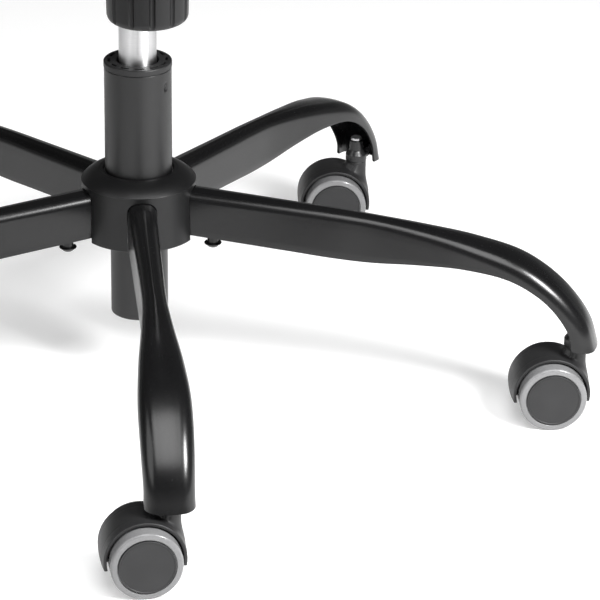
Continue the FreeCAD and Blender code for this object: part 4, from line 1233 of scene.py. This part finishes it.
@dataclass
class Caster:
    """One twin-wheel caster, modelled with its stem on Z and its axle at +X."""

    shop: Workshop
    name: str
    stock: dict[str, Shape]
    face_y: float = 26.0
    inner_y: float = 5.0
    disc_r: float = 19.8
    disc_edge: float = 0.7
    disc_dish: float = 0.25
    ring_groove_r: float = 18.6
    ring_groove: float = 0.35
    rim_r: float = 17.5
    tread_lip: float = 20.5
    tread_shoulder: float = 4.8
    axle_r: float = 3.0
    hood_gap: float = 1.3
    hood_wall: float = 2.3
    hood_crown: float = 0.9
    hood_rim_y: float = 16.6
    hood_edge: float = 0.45
    hood_web: float = 3.6
    skirt_deg: float = 11.0
    neck_r: float = 8.2
    neck_blend: float = 5.0
    mould_line_y: float = 9.0
    mould_line_depth: float = 0.16
    stem_r: float = 3.7
    stem_head_r: float = 4.5
    stem_head: float = 2.2
    rim_steps: int = 40
    sweep_steps: int = 128
    web_steps: int = 48
    cap_depth: float = 5.0
    cap_wall: float = 1.0
    disc_thickness: float = 1.6
    boss_r: float = 7.0
    rim_wall: float = 2.5
    rim_inset: float = 1.0
    groove_out: float = 0.35
    groove_in: float = 0.5
    tread_back: float = 1.65
    tread_face: float = 0.5
    lip_width: float = 0.9
    shoulder_drop: float = 0.3
    mould_line_width: float = 0.35
    neck_from: float = 0.2
    neck_sink: float = 1.0
    neck_reach: float = 14.0
    neck_probes: int = 40
    neck_halvings: int = 18
    neck_root: float = 0.6
    stem_root: float = 22.0
    stem_head_gap: float = 0.2
    axle_inset: float = 5.3
    wheel_facets: int = 96
    tread_facets: int = 128
    neck_facets: int = 64
    stem_facets: int = 48
    axle_facets: int = 32

    def __post_init__(self) -> None:
        """Read the caster's place from its joints."""
        self.stem = Vector(self.shop.joint(self.name + "_caster_swivel")["pos_m"]) / MM
        axle = Vector(self.shop.joint(self.name + "_caster_left_wheel_spin")["pos_m"]) / MM
        way = (axle - self.stem).to_2d()
        self.wheel_r = axle.z
        self.trail = way.length
        self.turn = math.atan2(way.y, way.x)
        self.hood_inner = self.wheel_r + self.hood_gap
        self.hood_rim = self.hood_inner + self.hood_wall
        self.neck_top = self.stem.z
        self.skirt_drop = self.hood_rim * math.sin(math.radians(self.skirt_deg))

    def place(self) -> Matrix:
        """Place of the caster's own frame."""
        shift = Matrix.Translation((self.stem.x * MM, self.stem.y * MM, 0.0))
        return shift @ Matrix.Rotation(self.turn, 4, "Z")

    def on_axle(self, side: Side) -> Matrix:
        """Place of a shape turned about Z, on the axle and facing one way."""
        shift = Matrix.Translation((self.trail * MM, 0.0, self.wheel_r * MM))
        return self.place() @ shift @ Matrix.Rotation(math.radians(-90.0 * side.value), 4, "X")

    def wheel(self) -> Shape:
        """Wheel with a dished disc, an eased edge and a fine groove inside it.

        Returns:
            A new mesh in metres, turned about Z.
        """
        bore = self.axle_r + RUNNING_GAP
        cap = self.face_y - self.cap_depth
        inside = cap - self.cap_wall
        back = self.face_y - self.disc_thickness
        dish = self.face_y - self.disc_dish
        start = self.inner_y + self.rim_inset
        groove = self.ring_groove_r
        return turned(rounded([
            (0.0, cap, 0.0),
            (bore, cap, 0.0),
            (bore, self.inner_y, 0.3),
            (self.boss_r, self.inner_y, 0.5),
            (self.boss_r, inside, 1.0),
            (self.rim_r - self.rim_wall, inside, 1.0),
            (self.rim_r - self.rim_wall, start, 0.4),
            (self.rim_r, start, 0.4),
            (self.rim_r, back, 0.0),
            (self.disc_r, back, 0.0),
            (self.disc_r, self.face_y, self.disc_edge),
            (groove + self.groove_out, self.face_y, 0.15),
            (groove, self.face_y - self.ring_groove, 0.1),
            (groove - self.groove_in, dish, 0.15),
            (0.0, dish, 0.0),
        ], closed=False), self.wheel_facets, closed=False)

    def tread(self) -> Shape:
        """Soft tread with a full outer shoulder and a small moulded lip.

        Returns:
            A new mesh in metres, turned about Z.
        """
        inner = self.rim_r + RUNNING_GAP
        start = self.inner_y + self.rim_inset
        back = self.face_y - self.tread_back
        face = self.face_y - self.tread_face
        lip = self.tread_lip
        return turned(rounded([
            (inner, start, 0.2),
            (inner, back, 0.0),
            (lip, back, 0.0),
            (lip, face, 0.35),
            (lip + self.lip_width, face, 0.5),
            (self.wheel_r, face - self.shoulder_drop, self.tread_shoulder),
            (self.wheel_r, start, 2.0),
        ], steps=10), self.tread_facets)

    def hood_radius(self, y: float) -> float:
        """Outer radius of the plain hood at a distance from its middle."""
        share = y / self.hood_rim_y
        line = math.exp(-(((abs(y) - self.mould_line_y) / self.mould_line_width) ** 2))
        return self.hood_rim + self.hood_crown * (1.0 - share * share) - self.mould_line_depth * line

    def hood_reach(self, turn: float, y: float) -> float:
        """Outer radius of the hood with the neck blended in.

        Args:
            turn: Angle round the axle from the trailing side, in radians.
            y: Distance from the hood's middle.

        Returns:
            Distance from the axle to the outer face.
        """
        plain = self.hood_radius(y)
        lift = math.sin(turn)
        if lift < self.neck_from or abs(y) > self.neck_r + self.neck_blend:
            return plain
        cap = (self.neck_top - self.neck_sink - self.wheel_r) / lift
        far = min(cap, plain + self.neck_reach)

        def depth(radius: float) -> float:
            """Distance outside the neck and the shell together."""
            neck = math.hypot(self.trail + radius * math.cos(turn), y) - self.neck_r
            return blended(neck, radius - plain, self.neck_blend)

        if depth(far) <= 0.0:
            return far
        low, high = plain, far
        for k in range(self.neck_probes):
            probe = far + (plain - far) * (k + 1) / self.neck_probes
            if depth(probe) <= 0.0:
                low, high = probe, far + (plain - far) * k / self.neck_probes
                break
        for _ in range(self.neck_halvings):
            middle = 0.5 * (low + high)
            if depth(middle) <= 0.0:
                low = middle
            else:
                high = middle
        return low

    def hood_turn(self, radius: float, share: float) -> float:
        """Angle round the axle, with share going from the trailing skirt over the top to the other."""
        drop = math.asin(self.skirt_drop / radius)
        return -drop + (math.pi + 2.0 * drop) * share

    def round_axle(self, radius: float, turn: float, y: float) -> Vector:
        """Point in metres at a distance and an angle round the axle."""
        return Vector((self.trail + radius * math.cos(turn), y, self.wheel_r + radius * math.sin(turn))) * MM

    def hood_spot(self, radius: float, y: float, share: float) -> Vector:
        """Point on a plain hood face, in metres."""
        return self.round_axle(radius, self.hood_turn(radius, share), y)

    def hood_row(self, share: float) -> list[Vector]:
        """Closed row of points across the hood's wall.

        Args:
            share: How far the row lies over the hood from the trailing skirt.

        Returns:
            Points in metres.
        """
        edge = self.hood_edge
        ease = EASED_CORNER * edge
        rim = self.hood_rim_y
        low = self.hood_inner
        high = self.hood_rim
        row = []
        for k in range(self.rim_steps + 1):
            y = -(rim - edge) + 2.0 * (rim - edge) * k / self.rim_steps
            turn = self.hood_turn(self.hood_radius(y), share)
            row.append(self.round_axle(self.hood_reach(turn, y), turn, y))
        turnover = [
            (high - ease, rim - ease), (high - edge, rim), (low + edge, rim),
            (low + ease, rim - ease), (low, rim - edge), (low, rim - 2.0 * edge), (low, 0.5 * rim),
        ]
        row += [self.hood_spot(radius, y, share) for radius, y in turnover]
        row += [self.hood_spot(radius, -y, share) for radius, y in reversed(turnover)]
        return row

    def hood(self) -> Shape:
        """Hood shell with its neck, and the web that carries the axle.

        Returns:
            A new mesh in metres.
        """
        shell = bmesh.new()
        shares = [k / self.sweep_steps for k in range(self.sweep_steps + 1)]
        rings = [[shell.verts.new(p) for p in self.hood_row(share)] for share in shares]
        skin(shell, rings, loop=False, closed=True)
        for ring in (rings[0], rings[-1]):
            shell.faces.new(ring)
        radius = self.hood_inner + 0.5 * self.hood_wall
        shares = [k / self.web_steps for k in range(self.web_steps + 1)]
        sides = (-self.hood_web, self.hood_web)
        web = prism(*([self.hood_spot(radius, y, share) for share in shares] for y in sides))
        root = self.wheel_r + self.hood_inner + self.neck_root
        neck = turned(rounded([
            (self.stem_r, root, 0.0),
            (self.neck_r, root, 0.0),
            (self.neck_r, self.neck_top, 0.6),
            (self.stem_r, self.neck_top, 0.2),
        ]), self.neck_facets)
        for part in (shell, web, neck):
            bmesh.ops.recalc_face_normals(part, faces=part.faces)
        return joined((shell, web, neck))

    def stem_and_axle(self) -> Shape:
        """Steel stem with its head above the socket, and the axle.

        Returns:
            A new mesh in metres.
        """
        head = heights("caster_sockets")[1] + self.stem_head_gap
        root = self.neck_top - self.stem_root
        stem = turned(rounded([
            (0.0, root, 0.0),
            (self.stem_r, root, 0.4),
            (self.stem_r, head, 0.0),
            (self.stem_head_r, head, 0.3),
            (self.stem_head_r, head + self.stem_head, 0.8),
            (0.0, head + self.stem_head, 0.0),
        ], closed=False), self.stem_facets, closed=False)
        half = self.face_y - self.axle_inset
        axle = turned(rounded([
            (0.0, -half, 0.0),
            (self.axle_r, -half, 0.4),
            (self.axle_r, half, 0.4),
            (0.0, half, 0.0),
        ], closed=False), self.axle_facets, closed=False)
        shift = Matrix.Translation((self.trail * MM, 0.0, self.wheel_r * MM))
        axle.transform(shift @ Matrix.Rotation(math.radians(-90.0), 4, "X"))
        return joined((stem, axle))

    def stocked(self, make: Callable[[], Shape]) -> Shape:
        """Copy of a mesh that all casters share, made the first time it is asked for."""
        if make.__name__ not in self.stock:
            self.stock[make.__name__] = make()
        return self.stock[make.__name__].copy()

    def build(self) -> None:
        """Make and dress the caster's pieces on their bodies."""
        body = self.name + "_caster"
        for piece, make, finish, node in (
            ("_moulded_hood", self.hood, MOULDED_BLACK, "_hood"),
            ("_bright_stem", self.stem_and_axle, GROUND_STEEL, "_stem_and_axle"),
        ):
            fit(body + piece, self.stocked(make), finish, body, body + node, self.place())
        for side in Side:
            wheel = "%s_%s_wheel" % (body, side.name.lower())
            tread = "%s_%s_tread" % (body, side.name.lower())
            place = self.on_axle(side)
            fit(wheel + "_disc", self.stocked(self.wheel), MOULDED_GREY, wheel, wheel, place)
            fit(tread + "_ring", self.stocked(self.tread), SOFT_TREAD, wheel, tread, place)


# Tilt mechanism


@dataclass
class TensionKnob:
    """Fluted hand knob, made of equal panels."""

    shop: Workshop
    bottom_r: float = 28.5
    edge_r: float = 5.2
    top_edge_r: float = 2.0
    floor: float = 12.0
    cavity_r: float = 20.5
    flute_count: int = 12
    flute_r: float = 2.1
    flute_edge: float = 0.5
    first_flute_deg: float = 3.2
    panel_steps: int = 10
    flute_steps: int = 9
    flute_span: float = 1.35
    flute_run_out: float = 4.0
    flute_inset: float = 2.0
    bore_r: float = 5.05
    dimple_r: float = 10.0
    dimple_rim_r: float = 11.0
    dimple: float = 1.2

    @property
    def outside_r(self) -> float:
        """The knob's outer radius in millimetres."""
        low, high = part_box("tension_knob")
        return 0.5 * (high.x - low.x) / MM

    def outline(self) -> Outline:
        """The knob's profile without flutes.

        Returns:
            Points as (radius, height) in millimetres.
        """
        bottom, top = heights("tension_knob")
        return rounded([
            (self.bore_r, bottom + self.dimple, 0.3),
            (self.dimple_r, bottom + self.dimple, 0.4),
            (self.dimple_rim_r, bottom, 0.5),
            (self.bottom_r, bottom, self.edge_r),
            (self.outside_r, top, self.top_edge_r),
            (self.cavity_r, top, 0.8),
            (self.cavity_r, bottom + self.floor, 0.8),
            (self.bore_r, bottom + self.floor, 0.3),
        ], steps=8)

    def panel(self) -> Shape:
        """One panel between the middles of two flutes.

        Returns:
            A new mesh in metres, about Z.
        """
        outer = self.outside_r
        outline = self.outline()
        half = math.pi / self.flute_count
        wide = self.flute_span * self.flute_r / outer
        turns = [-half + wide * k / self.flute_steps for k in range(self.flute_steps)]
        turns += [-half + wide + (half - wide) * k / self.panel_steps for k in range(self.panel_steps)]
        turns += [0.0] + [-t for t in reversed(turns)]
        rows = []
        for turn in turns:
            off = half - abs(turn)
            side = outer * math.sin(off)
            room = max(self.flute_r ** 2 - side ** 2, 0.0)
            run_out = max(abs(side) - self.flute_r, 0.0) * self.flute_run_out
            limit = outer * math.cos(off) - math.sqrt(room) + run_out
            row = []
            for radius, z in outline:
                fluted = radius > self.cavity_r + self.flute_inset
                out = blended(radius, limit, self.flute_edge) if fluted else radius
                row.append(Vector((out * math.cos(turn), out * math.sin(turn), z)) * MM)
            rows.append(row)
        return lofted(rows, loop=False)

    def build(self) -> None:
        """Repeat the panel round the bolt, close its seams and dress it."""
        low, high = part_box("tension_knob")
        middle = 0.5 * (low + high)
        one = new_piece("fluted_tension_knob", self.panel(), SATIN_MOULDING)
        step = math.tau / self.flute_count
        first = math.radians(self.first_flute_deg) + 0.5 * step
        self.shop.repeat.applied(
            one, SATIN_MOULDING, Count=self.flute_count, First_Turn=first, Turn_Step=step,
            Centre=(middle.x, middle.y, 0.0),
        )
        bm = bmesh.new()
        bm.from_mesh(one.data)
        bmesh.ops.remove_doubles(bm, verts=bm.verts, dist=10 * SAME_PLACE)
        bmesh.ops.recalc_face_normals(bm, faces=bm.faces)
        bm.to_mesh(one.data)
        bm.free()
        smooth(one.data)
        dress(one, "knob", SATIN_MOULDING, "tension_knob")


@dataclass
class TiltMechanism:
    """Pressed housing, seat plate, bolt, spring and height lever above the lift."""

    shop: Workshop
    plate_edge: float = 0.8
    housing_edge: float = 1.2
    lever_edge: float = 0.8
    spring_turns: float = 6.0
    spring_r: float = 16.5
    wire_r: float = 1.75
    thread_pitch: float = 1.5
    thread_r: float = 0.45
    bolt_r: float = 5.0
    bolt_head: float = 6.0
    weld_r: float = 2.0
    sleeve_r: float = 20.0
    rib_count: int = 7
    rib_step: float = 5.0
    rib_half_length: float = 9.0
    rib_r: float = 0.9
    spring_steps: int = 48
    spring_sides: int = 16
    thread_steps: int = 24
    thread_sides: int = 6
    thread_start: float = 4.0
    thread_short: float = 12.0
    weld_steps: int = 180
    weld_sides: int = 8
    weld_waves: float = 45.0
    weld_ripple: float = 0.1
    weld_out: float = 0.4
    weld_sunk: float = 0.2
    weld_round: float = 0.75
    rib_steps: int = 12
    rib_sides: int = 12
    rib_power: int = 6
    rib_flatness: float = 0.6
    rib_rise: float = 5.9
    rib_place: float = 0.42

    def wound(self, name: str, finish: Finish, **values: object) -> Piece:
        """Wind wire about Z.

        Args:
            name: Name of the piece.
            finish: Finish of the wire.
            values: Values of the coil's inputs.

        Returns:
            The new object.
        """
        holder = bpy.data.objects.new(name, bpy.data.meshes.new(name))
        bpy.context.scene.collection.objects.link(holder)
        self.shop.coil.applied(holder, finish, **values)
        smooth(holder.data)
        return holder

    def spring(self) -> Piece:
        """Coil spring of one wire, between its washers.

        Returns:
            The new object.
        """
        low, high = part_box("tension_spring")
        middle = 0.5 * (low + high)
        wire = self.wire_r * MM
        return self.wound(
            "wound_tension_spring", SPRING_WIRE, Turns=self.spring_turns, Radius=self.spring_r * MM,
            Height=high.z - low.z - 2.0 * wire, Wire_Radius=wire, Steps=self.spring_steps,
            Sides=self.spring_sides, Centre=(middle.x, middle.y, low.z + wire),
        )

    def thread(self) -> Piece:
        """Thread on the tension bolt, above the knob.

        Returns:
            The new object.
        """
        low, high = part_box("tension_bolt")
        middle = 0.5 * (low + high)
        height = high.z - low.z - self.bolt_head * MM - self.thread_short * MM
        return self.wound(
            "tension_bolt_thread", ZINC_PLATE, Turns=height / MM / self.thread_pitch, Radius=self.bolt_r * MM,
            Height=height, Wire_Radius=self.thread_r * MM, Steps=self.thread_steps, Sides=self.thread_sides,
            Centre=(middle.x, middle.y, low.z + self.thread_start * MM),
        )

    def weld(self) -> Piece:
        """Weld bead between the housing's floor and the cylinder sleeve.

        Returns:
            The new object.
        """
        floor = heights("upper_spring_washer")[1]
        rows = []
        for k in range(self.weld_steps):
            turn = math.tau * k / self.weld_steps
            size = self.weld_r * (1.0 + self.weld_ripple * math.sin(turn * self.weld_waves))
            row = []
            for i in range(self.weld_sides):
                way = math.tau * i / self.weld_sides
                radius = self.sleeve_r + self.weld_out * self.weld_r + self.weld_round * size * math.cos(way)
                z = floor - self.weld_sunk * self.weld_r + self.weld_round * size * math.sin(way)
                row.append(Vector((radius * math.cos(turn), radius * math.sin(turn), z)) * MM)
            rows.append(row)
        return new_piece("sleeve_weld_bead", lofted(rows, loop=True), PLATE_COAT)

    def grip_ribs(self) -> Piece:
        """Row of finger ribs on top of the lever's grip.

        Returns:
            The new object.
        """
        low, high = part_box("lever_grip")
        ways = [math.tau * i / self.rib_sides for i in range(self.rib_sides)]
        rows = []
        for k in range(self.rib_steps + 1):
            share = -1.0 + 2.0 * k / self.rib_steps
            y = share * self.rib_half_length
            size = self.rib_r * math.sqrt(max(1.0 - share ** self.rib_power, 0.0))
            flat = self.rib_flatness * size
            rows.append([Vector((size * math.cos(way), y, flat * math.sin(way))) * MM for way in ways])
        one = new_piece("lever_grip_ribs", lofted(rows, loop=False), MOULDED_BLACK)
        top = 0.5 * (low.z + high.z) + self.rib_rise * MM
        start = low.x + self.rib_place * (high.x - low.x)
        return self.shop.repeat.applied(
            one, MOULDED_BLACK, Count=self.rib_count, Shift_Step=(self.rib_step * MM, 0.0, 0.0),
            Centre=(start - 0.5 * (self.rib_count - 1) * self.rib_step * MM, 0.0, top),
        )

    def eased(self, solid: str, name: str, finish: Finish, edge: float, body: str) -> None:
        """Copy a solid with rounded edges and put the copy on its body."""
        dress(rounded_copy(self.shop.node(solid), name, finish, edge), body, finish, solid)

    def build(self) -> None:
        """Make and dress the mechanism."""
        self.eased("mechanism_housing", "pressed_housing", PLATE_COAT, self.housing_edge, "lift")
        dress(self.weld(), "lift", PLATE_COAT)
        self.eased("seat_plate", "eased_seat_plate", PLATE_COAT, self.plate_edge, "seat")
        self.eased("height_lever", "round_height_lever", POWDER_COAT, self.lever_edge, "lever")
        self.eased("lever_grip", "moulded_lever_grip", MOULDED_BLACK, self.lever_edge, "lever")
        dress(self.grip_ribs(), "lever", MOULDED_BLACK)
        spring = self.spring()
        dress(spring, "lift", SPRING_WIRE, "tension_spring")
        lifted = self.spring_travel()
        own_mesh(spring)
        dress(self.thread(), "seat", ZINC_PLATE)
        self.shop.paint(
            ZINC_PLATE, "tilt_pin", "tension_bolt", "lower_spring_washer", "upper_spring_washer", "lever_pin",
        )

    def spring_travel(self) -> float:
        """How far the tilting seat plate lifts the spring's lower end."""
        tilt = self.shop.joint("seat_tilt")
        low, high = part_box("tension_spring")
        arm = abs(0.5 * (low.y + high.y) - tilt["pos_m"][1])
        return arm * math.sin(math.radians(tilt["range_deg"][1]))


# Studio


@dataclass
class Lamp:
    """A soft box that faces the pedestal.

    Attributes:
        name: Name of the lamp.
        azimuth: Direction from the pedestal in degrees about Z, from +X.
        elevation: Angle above the floor in degrees.
        distance: Distance from the aim in metres.
        size: Width and height in metres.
        power: Power in watts.
    """

    name: str
    azimuth: float
    elevation: float
    distance: float
    size: tuple[float, float]
    power: float

    def build(self, aim: Vector) -> None:
        """Make the lamp, turned to its aim."""
        data = bpy.data.lights.new(self.name, "AREA")
        data.shape = "RECTANGLE"
        data.size, data.size_y = self.size
        data.energy = self.power
        made = bpy.data.objects.new(self.name, data)
        turn = math.radians(self.azimuth)
        lift = math.radians(self.elevation)
        way = Vector((math.cos(turn) * math.cos(lift), math.sin(turn) * math.cos(lift), math.sin(lift)))
        made.location = aim + way * self.distance
        made.rotation_mode = "QUATERNION"
        made.rotation_quaternion = (-way).to_track_quat("-Z", "Y")
        bpy.context.scene.collection.objects.link(made)


@dataclass
class Studio:
    """Pale stage, soft lamps and the camera."""

    aim: Vector = field(default_factory=lambda: Vector((0.0, 0.0, 0.15)))
    lamps: tuple[Lamp, ...] = (
        Lamp("key_box", -45.0, 32.0, 1.5, (0.4, 0.45), 38.0),
        Lamp("left_box", -150.0, 32.0, 2.6, (1.8, 1.8), 26.0),
        Lamp("front_box", -88.0, 58.0, 2.2, (1.2, 1.5), 36.0),
    )
    world_level: float = 0.05
    floor_colour: Colour = (0.78, 0.78, 0.78)
    floor_glow: float = 0.34
    # Painted pool of light on the floor: its colour and glow are full inside this radius round this middle,
    # and fade to a share of that beyond it
    painted_pool_middle: tuple[float, float, float] = (0.3, 0.2, 0.0)
    painted_pool_r: float = 0.78
    painted_pool_fade: float = 0.8
    beyond_painted_pool: float = 0.5
    floor_r: float = 9.0
    rim_rise: float = 2.6
    camera_place: tuple[float, float, float] = (-0.14135, -2.51062, 1.20148)
    camera_look: tuple[float, float, float] = (0.09501, 0.90548, -0.41363)
    camera_roll_deg: float = 0.66
    lens: float = 218.52
    sensor: float = 36.0
    sight: float = 100.0
    flat_rings: tuple[float, ...] = (0.0, 1.0, 3.0)
    rim_steps: int = 12
    floor_facets: int = 96

    def stage_material(self) -> bpy.types.Material:
        """Pale matte floor with a painted pool of light whose colour and glow dim outwards, a little brighter
        to a camera, a gloss and a clear piece.

        Returns:
            The new material.
        """
        made = bpy.data.materials.new("pale_stage")
        made.use_nodes = True
        tree = made.node_tree
        tree.nodes.clear()
        place = shade(tree, "TexCoord", {}).outputs["Object"]
        away = shade(tree, "VectorMath", {0: place, 1: self.painted_pool_middle}, operation="DISTANCE")
        # Painted pool of light: the floor's colour and glow dim with distance from the middle
        share = shade(tree, "MapRange", {
            "Value": away.outputs["Value"],
            "From Min": self.painted_pool_r, "From Max": self.painted_pool_r + self.painted_pool_fade,
            "To Min": 1.0, "To Max": self.beyond_painted_pool,
        }, interpolation_type="SMOOTHSTEP").outputs["Result"]
        painted_falloff_colour = shade(tree, "VectorMath", {0: self.floor_colour, "Scale": share}, operation="SCALE")
        matte = shade(tree, "BsdfDiffuse", {"Color": painted_falloff_colour.outputs["Vector"]})
        path = shade(tree, "LightPath", {}).outputs
        seen = path["Is Camera Ray"]
        for ray in ("Is Glossy Ray", "Is Transmission Ray"):
            seen = shade(tree, "Math", {0: seen, 1: path[ray]}, operation="MAXIMUM").outputs["Value"]
        level = seen
        for factor in (self.floor_glow, share):
            level = shade(tree, "Math", {0: level, 1: factor}, operation="MULTIPLY").outputs["Value"]
        glow = shade(tree, "Emission", {"Strength": level})
        both = shade(tree, "AddShader", {0: matte.outputs["BSDF"], 1: glow.outputs["Emission"]})
        shade(tree, "OutputMaterial", {"Surface": both.outputs["Shader"]})
        return made

    def stage(self) -> None:
        """Round floor whose far rim sweeps up."""
        profile = [(r, 0.0) for r in (*self.flat_rings, self.floor_r - self.rim_rise)]
        for k in range(1, self.rim_steps + 1):
            turn = math.radians(90.0 * k / self.rim_steps)
            profile.append((
                self.floor_r - self.rim_rise * (1.0 - math.sin(turn)),
                self.rim_rise * (1.0 - math.cos(turn)),
            ))
        rows = []
        for k in range(self.floor_facets):
            turn = math.tau * k / self.floor_facets
            rows.append([Vector((r * math.cos(turn), r * math.sin(turn), z)) for r, z in profile])
        bm = lofted(rows, loop=True, closed=False)
        bmesh.ops.remove_doubles(bm, verts=bm.verts, dist=SAME_PLACE)
        mesh = bpy.data.meshes.new("stage")
        bm.to_mesh(mesh)
        bm.free()
        mesh.polygons.foreach_set("use_smooth", [True] * len(mesh.polygons))
        mesh.materials.append(self.stage_material())
        floor = bpy.data.objects.new("stage", mesh)
        bpy.context.scene.collection.objects.link(floor)

    def world(self) -> None:
        """Even dim surroundings."""
        world = bpy.data.worlds.new("studio")
        world.use_nodes = True
        tree = world.node_tree
        fill(tree, tree.nodes["Background"], {"Color": WHITE, "Strength": self.world_level})
        bpy.context.scene.world = world

    def camera(self) -> None:
        """Camera at the photograph's place."""
        data = bpy.data.cameras.new("camera")
        data.sensor_width = self.sensor
        data.lens = self.lens
        data.clip_end = self.sight
        made = bpy.data.objects.new("camera", data)
        made.location = self.camera_place
        made.rotation_mode = "QUATERNION"
        look = Vector(self.camera_look).to_track_quat("-Z", "Y")
        made.rotation_quaternion = look @ Quaternion((0.0, 0.0, 1.0), math.radians(self.camera_roll_deg))
        bpy.context.scene.collection.objects.link(made)
        bpy.context.scene.camera = made

    def build(self) -> None:
        """Set up the stage, light and camera."""
        bpy.context.scene.view_settings.view_transform = "Standard"
        self.stage()
        self.world()
        for lamp in self.lamps:
            lamp.build(self.aim)
        self.camera()


def main() -> None:
    """Build every sub-assembly round the frame."""
    logging.basicConfig(level=logging.INFO, format="%(name)s: %(message)s")
    shop = Workshop(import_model())
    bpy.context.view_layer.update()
    base = StarBase(shop)
    base.build()
    HubCover(base).build()
    LiftColumn(shop).build()
    stock: dict[str, Shape] = {}
    for name in LEG_NAMES:
        Caster(shop, name, stock).build()
    TensionKnob(shop).build()
    TiltMechanism(shop).build()
    Studio().build()


if __name__ == "__main__":
    main()
